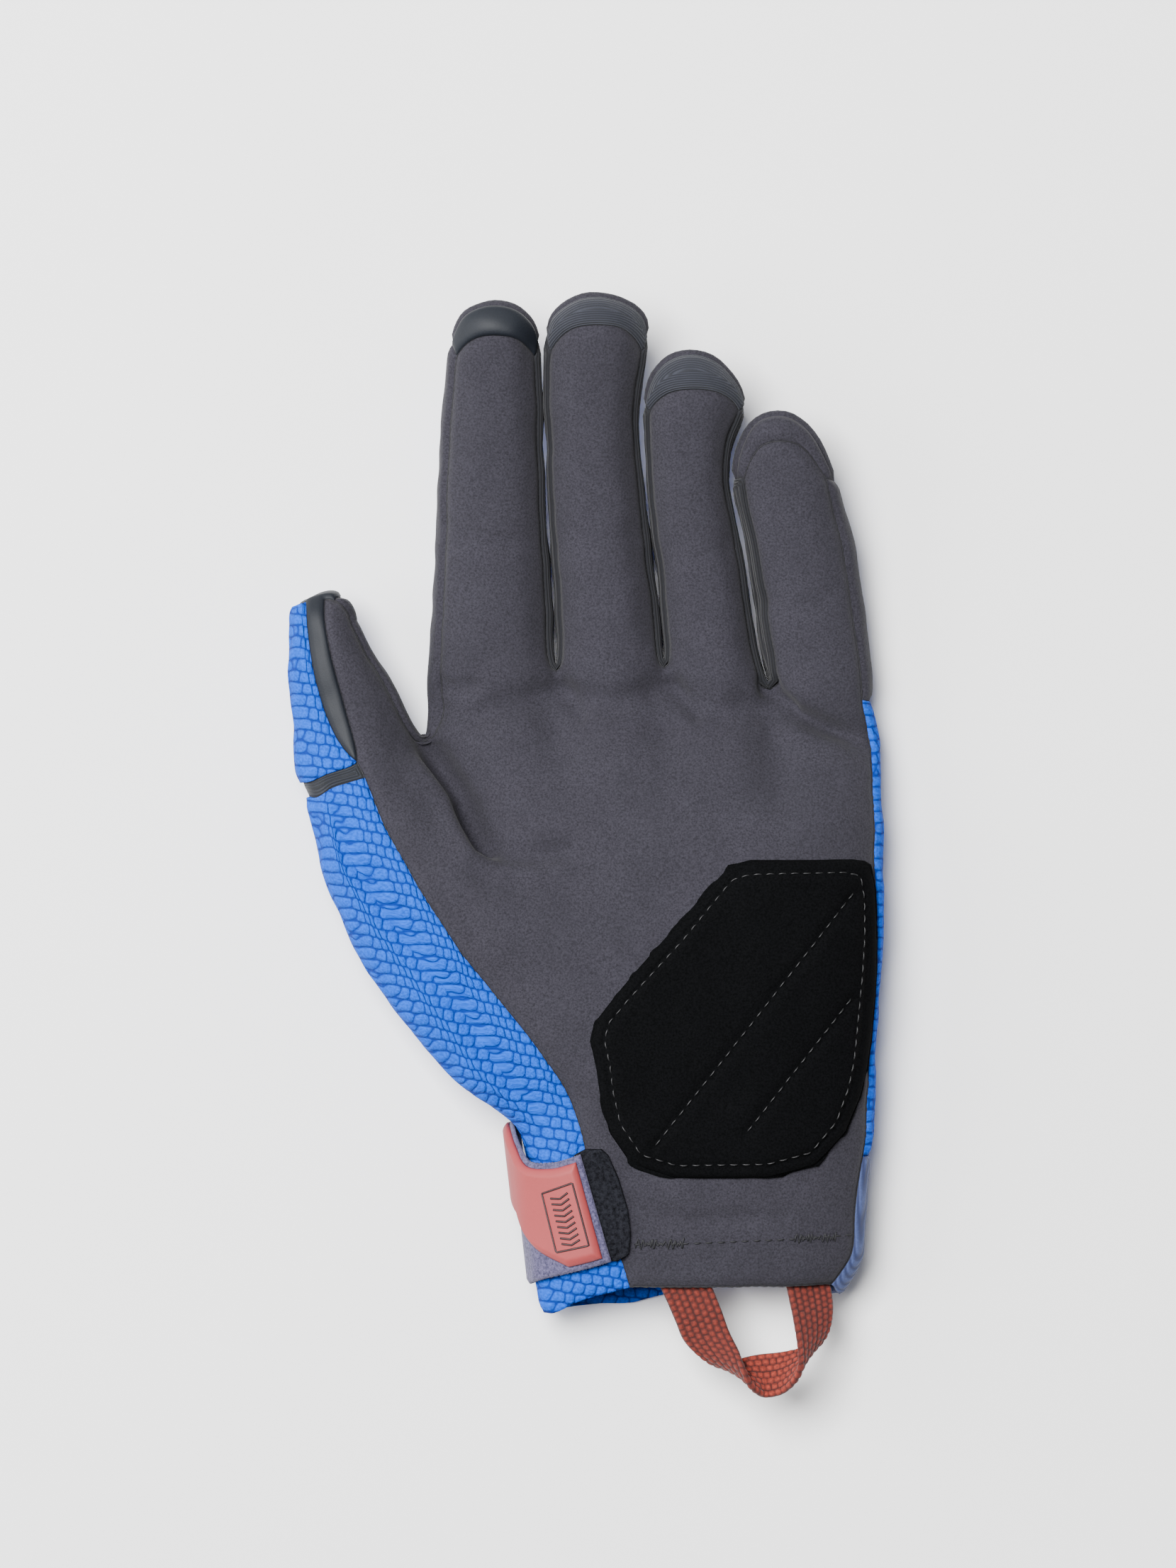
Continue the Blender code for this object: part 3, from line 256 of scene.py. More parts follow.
def palm_plan(r, column, hem=HEM_FRONT):
    """Plan position of a column on a body row or on a row between web and forks."""
    if r <= WEB:
        return body_x(r, column), body_y(r, column, hem)
    share = (r - WEB) / (FORK - WEB)
    x0, y0 = body_x(WEB, column), body_y(WEB, column, hem)
    if column == SPLIT:
        x0 = FORKS[0].across * PALM_WIDTH
    x1 = at_column([(f.column, f.across) for f in FORKS], column) * PALM_WIDTH
    y1 = at_column([(f.column, f.up) for f in FORKS], column) * PALM_LENGTH
    return x0 + share * (x1 - x0), y0 + share * (y1 - y0)


def section(r, x, side, narrow):
    """Height of the palm's front or back across the whole body or the palm alone."""
    row = BODY[min(r, WEB)]
    left = -0.502 if narrow else row.left
    t = (2 * x / PALM_WIDTH - left - row.right) / (row.right - left)
    mid = row.mid * PALM_THICKNESS
    if side > 0:
        return mid + row.rise * PALM_THICKNESS * lens(t, FRONT_POWER)
    return max(0.0, mid * (1 - 1.05 * lens(t, BACK_POWER)))


def finger_of(column):
    return min((column - SPLIT) // FINGER, 3)


def crown(column, side):
    """Height of the fork line, where the palm opens into the fingers."""
    digit = DIGITS[finger_of(column)]
    half = 0.5 * FINGER_THICKNESS * OUTLINES[digit.name][0].thick
    step = (column - SPLIT) % FINGER
    if column in (SPLIT, LAST):
        share = digit.left if column == SPLIT else digit.right
    elif step == 0:
        share = FORK_SHARE
    else:
        t = 2 * step / FINGER - 1
        share = t * (digit.left if t < 0 else digit.right)
    return max(0.0, ROOT_MID + side * half * lens(share, DIGIT_POWER))


def thumb_width_share(column, at):
    """Where a thumb column lies between the thumb's left and right edges."""
    touch, front = along(THUMB, at, "touch"), along(THUMB, at, "front")
    right = 1.0 - (1.0 - THUMB_OUT) * smooth(at / 0.2)
    columns = (0, SEAM, SEAM + 1, 8)
    return float(np.interp(column, columns, (THUMB_IN, touch, front, right)))


def thumb_height(share, at, cap, side):
    mid = along(THUMB, at, "mid") * THUMB_THICKNESS
    half = along(THUMB, at, "half") * THUMB_THICKNESS
    return mid + side * half * lens(np.hypot(2 * share - 1, cap), DIGIT_POWER)


def web_target(column, side):
    """Height of the web row, where the body opens into the thumb and the palm."""
    if column == SPLIT:
        return (THUMB[0].mid + side * WEB_FULLNESS * THUMB[0].half) * THUMB_THICKNESS
    if column > SPLIT:
        return section(WEB, body_x(WEB, column), side, True)
    thumb_column = column if column <= SEAM else column + 1
    return thumb_height(thumb_width_share(thumb_column, 0.0), 0.0, 0.0, side)


def relief(x, y):
    """Folds and swells of the palm side at a point of the plan."""
    total = 0.0
    for fold in FOLDS:
        start = np.array((fold.x0 * PALM_WIDTH, fold.y0 * PALM_LENGTH))
        end = np.array((fold.x1 * PALM_WIDTH, fold.y1 * PALM_LENGTH))
        line = end - start
        share = np.clip(np.dot((x, y) - start, line) / np.dot(line, line), 0, 1)
        gap = np.linalg.norm((x, y) - start - share * line)
        total += fold.height * np.exp(-((gap / (fold.spread * PALM_WIDTH)) ** 2))
    return total * PALM_THICKNESS


def roll(r, column):
    """The padded roll and the valley beside it, on the knit side of the front."""
    if not 7 <= r <= 13 or column > VALLEY:
        return 0.0
    fade = min(1.0, (14 - r) / 2)
    shape = (0.5 * RIDGE_HEIGHT, RIDGE_HEIGHT, -VALLEY_DEPTH)
    return shape[column] * fade * PALM_THICKNESS


def palm_z(r, column, side):
    x, y = palm_plan(r, column)
    xw = body_x(WEB, column)
    to_web = smooth((BODY[min(r, WEB)].at - WEB_BLEND) / (1 - WEB_BLEND))
    z = section(r, x, side, r > WEB)
    if r <= WEB:
        z += to_web * (web_target(column, side) - section(WEB, xw, side, False))
    if column >= SPLIT and (column, r) != (SPLIT, WEB):
        xf, yf = palm_plan(FORK, column)
        to_fork = smooth((y - yf) / (FORK_BLEND * PALM_LENGTH) + 1)
        z += to_fork * (crown(column, side) - section(FORK, xf, side, True))
    if side > 0:
        z += relief(x, y) + roll(r, column)
    return max(0.0, z)


def palm_mid(r, right):
    """Height of the side edge of the body."""
    mid = BODY[min(r, WEB)].mid * PALM_THICKNESS
    if right or r > WEB:
        y = palm_plan(r, LAST if right else SPLIT)[1]
        fork = palm_plan(FORK, LAST if right else SPLIT)[1]
        return mid + smooth((y - fork) / (FORK_BLEND * PALM_LENGTH) + 1) * (ROOT_MID - mid)
    to_web = smooth((BODY[r].at - WEB_BLEND) / (1 - WEB_BLEND))
    return mid + to_web * (THUMB[0].mid * THUMB_THICKNESS - BODY[WEB].mid * PALM_THICKNESS)


def finger_frame(digit, y):
    """Middle, half width, middle height and half thickness of a finger at a height."""
    root = digit.root * PALM_LENGTH
    at = (y - root) / digit.length
    outline = OUTLINES[digit.name]
    left = along(outline, at, "left") * PALM_WIDTH
    right = along(outline, at, "right") * PALM_WIDTH
    lean = digit.lean * PALM_WIDTH * smooth((at - digit.cap) / (1 - digit.cap))
    mid = ROOT_MID + digit.curl * FINGER_CURL * max(0.0, at) ** 2
    half = 0.5 * FINGER_THICKNESS * along(outline, at, "thick")
    return 0.5 * (left + right) + lean, 0.5 * (right - left), mid, half


def finger_point(digit, share, y, side):
    """A point of a finger's front or back, at a share of its half width."""
    middle, width, mid, half = finger_frame(digit, y)
    cap = (digit.root * PALM_LENGTH + digit.cap * digit.length, (1 - digit.cap) * digit.length)
    beyond = max(0.0, y - cap[0]) / cap[1]
    height = half * lens(np.hypot(share, beyond), DIGIT_POWER)
    return middle + share * width, y, max(0.0, mid + side * height)


class Shell:
    """Points of the skin by key, and its faces by panel."""

    def __init__(self):
        self.index = {}
        self.points = []
        self.faces = []
        self.panels = []

    def point(self, key, position):
        if key not in self.index:
            self.index[key] = len(self.points)
            self.points.append(tuple(float(v) for v in position))
        return self.index[key]

    def face(self, corners, panel):
        kept = [c for i, c in enumerate(corners) if c != corners[i - 1]]
        if len(kept) > 2:
            self.faces.append(kept)
            self.panels.append(panel)


def key_of(digit, k, c):
    """Key of a digit's plan point. The root row is shared with the body."""
    if digit == "thumb":
        body = c if c <= SEAM else c - 1
        return ("body", WEB, body) if k == 0 else ("thumb", k, c)
    start = SPLIT + FINGER * [d.name for d in DIGITS].index(digit)
    return ("body", FORK, start + c) if k == 0 else (digit, k, c)


def finger_plan(digit, k, c, side):
    step = 2 * c / FINGER - 1
    start = SPLIT + FINGER * DIGITS.index(digit)
    base = palm_plan(FORK, start + c)[1]
    rise = digit.corner + (digit.arch - digit.corner) * lens(step, 2.5)
    top = (digit.root * PALM_LENGTH) + rise * digit.length
    y = base + (top - base) * k / digit.rows
    share = step * (digit.left if step < 0 else digit.right)
    return finger_point(digit, share, y, side), share, y


def thumb_plan(k, c, side):
    at = min(1.0, k / (THUMB_ROWS - 1))
    share = thumb_width_share(c, at)
    left = (along(THUMB, at, "left_x") * PALM_WIDTH, along(THUMB, at, "left_y") * PALM_LENGTH)
    right = (along(THUMB, at, "right_x") * PALM_WIDTH, along(THUMB, at, "right_y") * PALM_LENGTH)
    x = left[0] + share * (right[0] - left[0])
    y = left[1] + share * (right[1] - left[1])
    cap = 0.0
    if k == THUMB_ROWS:
        cap = np.sqrt(max(0.012, THUMB_ARCH**2 - (2 * share - 1) ** 2))
        y += cap * THUMB_CAP * PALM_LENGTH
    return (x, y, thumb_height(share, at, cap, side)), share, cap


def add_sheets(shell):
    """Front and back points and cells of the body, the thumb and the fingers."""
    for side, hem in ((1, HEM_FRONT), (-1, HEM_BACK)):
        for r in range(FORK + 1):
            for c in range(0 if r <= WEB else SPLIT, LAST + 1):
                plan = palm_plan(r, c, hem)
                shell.point((side, "body", r, c), (*plan, palm_z(r, c, side)))
        for k in range(1, THUMB_ROWS + 1):
            for c in range(9):
                shell.point((side, "thumb", k, c), thumb_plan(k, c, side)[0])
        for digit in DIGITS:
            for k in range(1, digit.rows + 1):
                for c in range(FINGER + 1):
                    shell.point((side, digit.name, k, c), finger_plan(digit, k, c, side)[0])
    cells = []
    for r in range(FORK):
        for c in range(0 if r < WEB else SPLIT, LAST):
            corners = [("body", r, c), ("body", r, c + 1), ("body", r + 1, c + 1), ("body", r + 1, c)]
            front = "palm_panel"
            if c < SEAM:
                front = "thumb_flex_strip" if r == WEB - 1 else "thumb_side_panel"
            cells.append((corners, front, "back_panel"))
    for k in range(THUMB_ROWS):
        for c in range(8):
            front = "thumb_back" if c < SEAM else "thumb_touch_patch" if c == SEAM else "palm_panel"
            cells.append((cell("thumb", k, c), front, "thumb_back"))
    for digit in DIGITS:
        for k in range(digit.rows):
            for c in range(FINGER):
                back = "back_panel"
                if k == digit.rows - 1:
                    back = digit.name + "_tip_back"
                cells.append((cell(digit.name, k, c), "palm_panel", back))
    for corners, front, back in cells:
        shell.face([shell.index[(1, *key)] for key in corners], front)
        shell.face([shell.index[(-1, *key)] for key in reversed(corners)], back)


def cell(digit, k, c):
    around = ((k, c), (k, c + 1), (k + 1, c + 1), (k + 1, c))
    return [key_of(digit, *place) for place in around]


# One step of the path round the plan: the seam point, the edge beside it, the seam's
# share of the half width, and the panel of the ribbon cell that follows.
Step = namedtuple("Step", "key edge share panel powers")
BODY_POWERS = (FRONT_POWER, BACK_POWER)
DIGIT_POWERS = (DIGIT_POWER, DIGIT_POWER)


def finger_steps(digit, left_panel, right_panel):
    """Up one side of a finger, over its tip and down the other side."""
    steps = []
    cap = digit.root * PALM_LENGTH + digit.cap * digit.length
    reach = (1 - digit.cap) * digit.length
    for k in range(1, digit.rows):
        _, share, y = finger_plan(digit, k, 0, 1)
        middle, width, mid, _ = finger_frame(digit, min(y, cap))
        edge = (middle - width, min(y, cap), mid)
        steps.append(Step(key_of(digit.name, k, 0), edge, abs(share), left_panel, DIGIT_POWERS))
    for c in range(FINGER + 1):
        _, share, y = finger_plan(digit, digit.rows, c, 1)
        turn = np.pi * (1 - c / FINGER)
        edge_y = cap + reach * np.sin(turn)
        middle, width, mid, _ = finger_frame(digit, edge_y)
        beyond = np.hypot(share, max(0.0, y - cap) / reach)
        edge = (middle + width * np.cos(turn), edge_y, mid)
        panel = digit.name + "_tip_strip" if c < FINGER else right_panel
        steps.append(Step(key_of(digit.name, digit.rows, c), edge, beyond, panel, DIGIT_POWERS))
    for k in range(digit.rows - 1, 0, -1):
        _, share, y = finger_plan(digit, k, FINGER, 1)
        middle, width, mid, _ = finger_frame(digit, min(y, cap))
        edge = (middle + width, min(y, cap), mid)
        steps.append(Step(key_of(digit.name, k, FINGER), edge, share, right_panel, DIGIT_POWERS))
    return steps


def fork_step(column, panel):
    x, y = palm_plan(FORK, column)
    return Step(("body", FORK, column), (x, y, ROOT_MID), FORK_SHARE, panel, DIGIT_POWERS)


def thumb_steps():
    """Up the outer side of the thumb, over its tip and down to the web."""
    steps = []
    for k in range(1, THUMB_ROWS):
        edge = thumb_edge(k / (THUMB_ROWS - 1), "left")
        steps.append(Step(("thumb", k, 0), edge, 1 - 2 * THUMB_IN, "thumb_back", DIGIT_POWERS))
    for c in range(9):
        _, share, cap = thumb_plan(THUMB_ROWS, c, 1)
        turn = np.pi * (1 - (share - THUMB_IN) / (THUMB_OUT - THUMB_IN))
        middle = 0.5 * (THUMB[-1].left_x + THUMB[-1].right_x) * PALM_WIDTH
        width = 0.5 * (THUMB[-1].right_x - THUMB[-1].left_x) * PALM_WIDTH
        reach = THUMB_CAP * PALM_LENGTH * np.sin(turn)
        mid = THUMB[-1].mid * THUMB_THICKNESS
        edge = (middle + width * np.cos(turn), THUMB[-1].left_y * PALM_LENGTH + reach, mid)
        panel = "thumb_back" if c < SEAM else "thumb_touch_patch"
        panel = "thumb_index_gusset" if c > SEAM + 1 else panel
        beyond = min(0.93, np.hypot(2 * share - 1, cap))
        steps.append(Step(("thumb", THUMB_ROWS, c), edge, beyond, panel, DIGIT_POWERS))
    for k in range(THUMB_ROWS - 1, 0, -1):
        edge = thumb_edge(k / (THUMB_ROWS - 1), "right")
        share = 2 * thumb_width_share(8, k / (THUMB_ROWS - 1)) - 1
        steps.append(Step(("thumb", k, 8), edge, share, "thumb_index_gusset", DIGIT_POWERS))
    return steps


def thumb_edge(at, hand):
    x = along(THUMB, at, hand + "_x") * PALM_WIDTH
    y = along(THUMB, at, hand + "_y") * PALM_LENGTH
    return x, y, along(THUMB, at, "mid") * THUMB_THICKNESS


def path_steps():
    """The whole path, from the hem on the thumb side round to the hem on the other."""
    steps = []
    for r in range(WEB + 1):
        row = BODY[r]
        panel = "thumb_side_panel" if r < WEB - 1 else "thumb_flex_strip"
        panel = "thumb_back" if r == WEB else panel
        edge = (row.left * PALM_WIDTH, body_y(r, 0, HEM_FRONT), palm_mid(r, False))
        share = 1 - 2 * inset(r)[0] / (row.right - row.left)
        steps.append(Step(("body", r, 0), edge, share, panel, BODY_POWERS))
    steps += thumb_steps()
    web = palm_plan(WEB, SPLIT)
    edge = (*web, THUMB[0].mid * THUMB_THICKNESS)
    steps.append(Step(("body", WEB, SPLIT), edge, 0.85, "thumb_index_gusset", DIGIT_POWERS))
    for r in range(WEB + 1, FORK + 1):
        y = palm_plan(r, SPLIT)[1]
        x = (INDEX_SIDE if r < FORK else OUTLINES["index"][0].left) * PALM_WIDTH
        edge = (x, y, palm_mid(r, False))
        steps.append(Step(("body", r, SPLIT), edge, 0.90, "thumb_index_gusset", DIGIT_POWERS))
    gussets = ("thumb_index_gusset", "gusset_index_middle", "gusset_middle_ring", "gusset_ring_little")
    sides = (*gussets, "little_outer_side")
    for i, digit in enumerate(DIGITS):
        if i:
            steps.append(fork_step(SPLIT + FINGER * i, gussets[i]))
        steps += finger_steps(digit, sides[i], sides[i + 1])
    for r in range(FORK, -1, -1):
        row = BODY[min(r, WEB)]
        x, y = palm_plan(r, LAST)
        panel = "back_panel" if r > 4 else "cuff_side_elastic"
        width = row.right if r <= WEB else row.right - 0.010 * (r - WEB) / 2
        if r < 2:
            y += HEM_SIDE * PALM_LENGTH * (1 - BODY[r].at / 0.1)
        share = 1 - 2 * inset(r)[1] / (row.right - row.left)
        edge = (width * PALM_WIDTH, y, palm_mid(r, True))
        steps.append(Step(("body", r, LAST), edge, share, panel, BODY_POWERS))
    return steps


def add_ribbon(shell, steps):
    """The side cells between the front seam and the back seam."""
    lines = []
    for step in steps:
        front = np.array(shell.points[shell.index[(1, *step.key)]])
        back = np.array(shell.points[shell.index[(-1, *step.key)]])
        edge = np.array(step.edge)
        line = [shell.index[(1, *step.key)]]
        for seam, power, shares in ((front, step.powers[0], SIDE_STEPS), (back, step.powers[1], BACK_STEPS)):
            ring = []
            for w in shares:
                place = seam + w * (edge - seam)
                inner = lens(step.share, power)
                height = lens(step.share + w * (1 - step.share), power) / inner
                place[2] = edge[2] + height * (seam[2] - edge[2])
                ring.append(shell.point(("side", power, w, seam[2] > edge[2], *step.key), place))
            if seam is front:
                line += ring
                line.append(shell.point(("edge", *step.key), edge))
            else:
                line += reversed(ring)
        line.append(shell.index[(-1, *step.key)])
        lines.append(line)
    for i in range(len(lines) - 1):
        for j in range(len(lines[i]) - 1):
            panel = steps[i].panel
            if panel.endswith("_tip_strip") and j >= len(SIDE_STEPS):
                panel = panel.replace("_strip", "_back")
            corners = (lines[i][j], lines[i + 1][j], lines[i + 1][j + 1], lines[i][j + 1])
            shell.face(list(corners), panel)


def corner_normals(points, faces):
    """Smooth normal of each point, weighted by the area round it."""
    normals = np.zeros_like(points)
    for face in faces:
        ring = points[face]
        area = sum(np.cross(ring[i] - ring[0], ring[i + 1] - ring[0]) for i in range(1, len(face) - 1))
        normals[face] += area
    length = np.linalg.norm(normals, axis=1, keepdims=True)
    return normals / np.maximum(length, 1e-12)


def closed_sheet(outer, inner, faces):
    """Corners and faces of the solid between two sheets that share their faces."""
    used = sorted({v for face in faces for v in face})
    place = {v: i for i, v in enumerate(used)}
    count = len(used)
    corners = np.concatenate((outer[used], inner[used]))
    solid = [[place[v] for v in face] for face in faces]
    solid += [[place[v] + count for v in reversed(face)] for face in faces]
    seen = {(place[a], place[b]) for face in faces for a, b in zip(face, face[1:] + face[:1])}
    for a, b in sorted(seen):
        if (b, a) not in seen:
            solid.append([b, a, a + count, b + count])
    return corners, solid


class Surface:
    """The finished skin, for the pieces that are laid on it."""

    def __init__(self, points, normals, faces):
        triangles = [(f[0], f[i], f[i + 1]) for f in faces for i in range(1, len(f) - 1)]
        self.points, self.normals, self.triangles = points, normals, triangles
        self.tree = BVHTree.FromPolygons([Vector(p) for p in points], triangles)

    def above(self, x, y, lift):
        """The point at a height above the skin, along the skin's own normal."""
        hit, _, index, _ = self.tree.ray_cast(Vector((x, y, 1.0)), Vector((0, 0, -1)))
        corners = [self.points[i] for i in self.triangles[index]]
        a, b, c = (corner[:2] for corner in corners)
        area = np.linalg.det(np.array((b - a, c - a)))
        u = np.linalg.det(np.array((b - np.array((x, y)), c - np.array((x, y))))) / area
        v = np.linalg.det(np.array((c - np.array((x, y)), a - np.array((x, y))))) / area
        weights = (u, v, 1 - u - v)
        normal = sum(w * self.normals[i] for w, i in zip(weights, self.triangles[index]))
        return np.array(hit) + normal / np.linalg.norm(normal) * lift


def grid_faces(rows, columns):
    """Cells of a grid of points, counter-clockwise for rows that run up the plan."""
    faces = []
    for r in range(rows):
        for c in range(columns):
            a = r * (columns + 1) + c
            faces.append([a, a + 1, a + columns + 2, a + columns + 1])
    return faces


# Heel patch. y by PALM_LENGTH, left and right by PALM_WIDTH.
Band = namedtuple("Band", "at left right")
HEEL = (
    Band(0.1790, 0.040, 0.255),
    Band(0.1990, -0.045, 0.360),
    Band(0.2520, -0.095, 0.424),
    Band(0.3100, -0.115, 0.456),
    Band(0.3560, -0.124, 0.472),
    Band(0.4000, -0.137, 0.480),
    Band(0.4320, -0.127, 0.484),
    Band(0.4750, -0.082, 0.489),
    Band(0.5170, -0.034, 0.492),
    Band(0.5820, 0.045, 0.493),
    Band(0.6470, 0.123, 0.489),
    Band(0.6860, 0.172, 0.478),
    Band(0.6940, 0.215, 0.440),
)

# Hook pad beside the tab. y by PALM_LENGTH, left and right by PALM_WIDTH.
HOOK = (
    Band(0.0446, -0.150, -0.078),
    Band(0.0562, -0.155, -0.052),
    Band(0.0900, -0.165, -0.048),
    Band(0.1300, -0.175, -0.055),
    Band(0.1800, -0.185, -0.075),
    Band(0.2170, -0.170, -0.098),
    Band(0.2260, -0.148, -0.112),
)


# Strap round the thumb side of the cuff, from under the back to the end of its tab.
# Its upper and lower edges: x by PALM_WIDTH, y by PALM_LENGTH, and z by PALM_THICKNESS
# where it stands off the cuff, or none where it lies on it. above and below: where the
# grip begins and ends, as shares of the strap's width.
Strap = namedtuple("Strap", "x0 y0 z0 x1 y1 z1 above below")
STRAP = (
    Strap(-0.296, 0.269, 0.086, -0.254, 0.002, 0.086, 0.02, 0.46),
    Strap(-0.308, 0.269, 0.276, -0.263, 0.002, 0.276, 0.02, 0.48),
    Strap(-0.306, 0.260, 0.483, -0.267, 0.002, 0.465, 0.02, 0.50),
    Strap(-0.293, 0.232, 0.620, -0.261, 0.005, 0.590, 0.02, 0.52),
    Strap(-0.257, 0.207, None, -0.230, 0.014, None, 0.04, 0.74),
    Strap(-0.214, 0.205, None, -0.173, 0.026, None, 0.05, 0.94),
    Strap(-0.183, 0.211, None, -0.129, 0.035, None, 0.05, 0.94),
    Strap(-0.154, 0.219, None, -0.088, 0.045, None, 0.05, 0.94),
)
STRAP_CELLS = 5


def strap_sheet(surface):
    """Points across the strap's inner face, row by row from its root to its tab."""
    rows = []
    for row in STRAP:
        top = np.array((row.x0 * PALM_WIDTH, row.y0 * PALM_LENGTH))
        bottom = np.array((row.x1 * PALM_WIDTH, row.y1 * PALM_LENGTH))
        line = []
        for share in np.linspace(0, 1, STRAP_CELLS + 1):
            x, y = top + share * (bottom - top)
            if row.z0 is None:
                line.append(surface.above(x, y, 2 * LAYER_GAP + HOOK_THICKNESS))
            else:
                line.append(np.array((x, y, (row.z0 + share * (row.z1 - row.z0)) * PALM_THICKNESS)))
        rows.append(line)
    return np.array(rows)


# Pull loop under the front of the hem. far and near: the two edges of the webbing,
# across by PALM_WIDTH, up by PALM_LENGTH and high by PALM_THICKNESS.
Web = namedtuple("Web", "far_x far_y far_z near_x near_y near_z")
LOOP = (
    Web(-0.0126, 0.0500, 0.710, 0.0837, 0.0800, 0.710),
    Web(0.0136, 0.0054, 0.710, 0.1098, 0.0354, 0.710),
    Web(0.0319, -0.0238, 0.710, 0.1276, 0.0015, 0.717),
    Web(0.0517, -0.0577, 0.697, 0.1506, -0.0385, 0.724),
    Web(0.0680, -0.0862, 0.672, 0.1705, -0.0723, 0.731),
    Web(0.0941, -0.1077, 0.655, 0.1904, -0.1031, 0.790),
    Web(0.1308, -0.1246, 0.638, 0.2019, -0.1277, 0.890),
    Web(0.1674, -0.1292, 0.628, 0.2155, -0.1538, 0.914),
    Web(0.2040, -0.1169, 0.641, 0.2301, -0.1692, 0.879),
    Web(0.2406, -0.1108, 0.655, 0.2500, -0.1777, 0.824),
    Web(0.2824, -0.1077, 0.655, 0.2866, -0.1708, 0.852),
    Web(0.3243, -0.1023, 0.655, 0.3128, -0.1508, 0.921),
    Web(0.3609, -0.0969, 0.648, 0.3232, -0.1277, 0.938),
    Web(0.3891, -0.0731, 0.631, 0.3211, -0.0954, 0.872),
    Web(0.3996, -0.0431, 0.607, 0.3117, -0.0538, 0.790),
    Web(0.3975, -0.0115, 0.545, 0.3033, -0.0169, 0.680),
    Web(0.3830, 0.0400, 0.530, 0.2918, 0.0350, 0.660),
)


def build_shell():
    shell = Shell()
    add_sheets(shell)
    add_ribbon(shell, path_steps())
    return shell


# The dressed glove. Its own details are in millimetres, and turned to metres where used.
MM = 0.001

# The sewn panels: cloth, finish, and whether the photographed side shows them large.
Cloth = namedtuple("Cloth", "panel wall finish fine")
CLOTHS = (
    Cloth("palm_panel", SUEDE, "suede", True),
    Cloth("back_panel", KNIT, "knit", False),
    Cloth("thumb_side_panel", KNIT, "knit", True),
    Cloth("thumb_back", KNIT, "knit", True),
    Cloth("thumb_flex_strip", STRETCH, "dark rib", True),
    Cloth("thumb_touch_patch", SUEDE, "touch", True),
    Cloth("thumb_index_gusset", SUEDE, "suede", True),
    Cloth("gusset_index_middle", STRETCH, "gusset", False),
    Cloth("gusset_middle_ring", STRETCH, "gusset", False),
    Cloth("gusset_ring_little", STRETCH, "gusset", False),
    Cloth("index_tip_strip", SUEDE, "touch", True),
    Cloth("middle_tip_strip", STRETCH, "rib", True),
    Cloth("ring_tip_strip", STRETCH, "rib", True),
    Cloth("little_tip_strip", SUEDE, "suede", True),
    Cloth("index_tip_back", SUEDE, "suede", False),
    Cloth("middle_tip_back", SUEDE, "suede", False),
    Cloth("ring_tip_back", SUEDE, "suede", False),
    Cloth("little_tip_back", SUEDE, "suede", False),
    Cloth("little_outer_side", SUEDE, "suede", True),
    Cloth("cuff_side_elastic", STRETCH, "elastic", True),
)
PANELS = [cloth.panel for cloth in CLOTHS]
# How deep and how wide a cloth dips at its seams.
SEAM_DIPS = {"suede": (0.75, 1.1), "knit": (0.6, 1.2)}
PLAIN_DIP = (0.45, 0.6)
FLEX_DEPTH = 1.7  # of the dark wedge below the knit round it
BACKING = 0.3  # cloth behind the creases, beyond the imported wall
CAGE_PULL, CAGE_REACH = 0.8, 0.7  # how far the cage swells to meet its own corners
# Creases of the palm side. points: plan positions from the hem's middle. depth and spread,
# roll: how far the lower left side swells over it, fade: share of its length at each end.
Crease = namedtuple("Crease", "name depth spread roll fade points")
CREASES = (
    Crease("thumb fold", 5.0, 2.3, 2.0, 0.22,
           ((-50, 118), (-45.5, 111), (-41, 104.5), (-38, 98), (-35.5, 94), (-31, 91))),
    Crease("thumb fold's end", 1.6, 2.2, 0.6, 0.22, ((-36, 95), (-31, 91.5), (-24, 91), (-14, 93))),
    Crease("finger roots", 1.9, 3.2, 0.0, 0.06,
           ((-50, 124), (-38, 121), (-20, 125.5), (-8, 123), (3, 126.5), (14, 121.5), (24, 123),
            (36, 118), (49, 114))),
    Crease("side of the index", 1.2, 2.0, 0.4, 0.22, ((-47, 128), (-41, 126), (-36, 127))),
    Crease("index fork", 1.3, 1.6, 0.0, 0.22, ((-20.4, 130), (-18, 124), (-14, 118))),
    Crease("ring fork", 1.3, 1.6, 0.0, 0.22, ((2.8, 130), (6, 124), (11, 119))),
    Crease("little fork", 2.2, 1.7, 0.7, 0.22, ((22, 130), (26, 125), (30, 121), (38, 118), (48, 115))),
    Crease("below the thumb fold", 0.8, 2.2, 0.3, 0.22, ((-40, 90), (-34, 86), (-25, 85))),
    Crease("heart of the palm", 1.3, 6.0, 0.0, 0.3, ((-34, 108), (-8, 100), (14, 100), (40, 106))),
    Crease("ball of the thumb", 0.6, 2.5, 0.2, 0.22, ((-50, 92), (-42, 80), (-33, 70))),
    Crease("index joint", 0.5, 2.5, 0.0, 0.22, ((-44, 158), (-33, 156), (-24, 159))),
    Crease("middle joint", 0.5, 2.5, 0.0, 0.22, ((-20, 160), (-10, 157), (0, 160))),
    Crease("ring joint", 0.5, 2.5, 0.0, 0.22, ((1, 158), (10, 154), (20, 157))),
    Crease("little joint", 0.6, 2.2, 0.0, 0.22, ((20, 146), (30, 143), (42, 147))),
    Crease("wrist", 0.9, 2.2, 0.4, 0.22, ((-11, 42), (-8.5, 34), (-4, 27), (5, 22))),
    Crease("hem", 0.6, 1.8, 0.2, 0.22, ((-3, 16), (8, 14), (20, 15), (34, 14))),
)
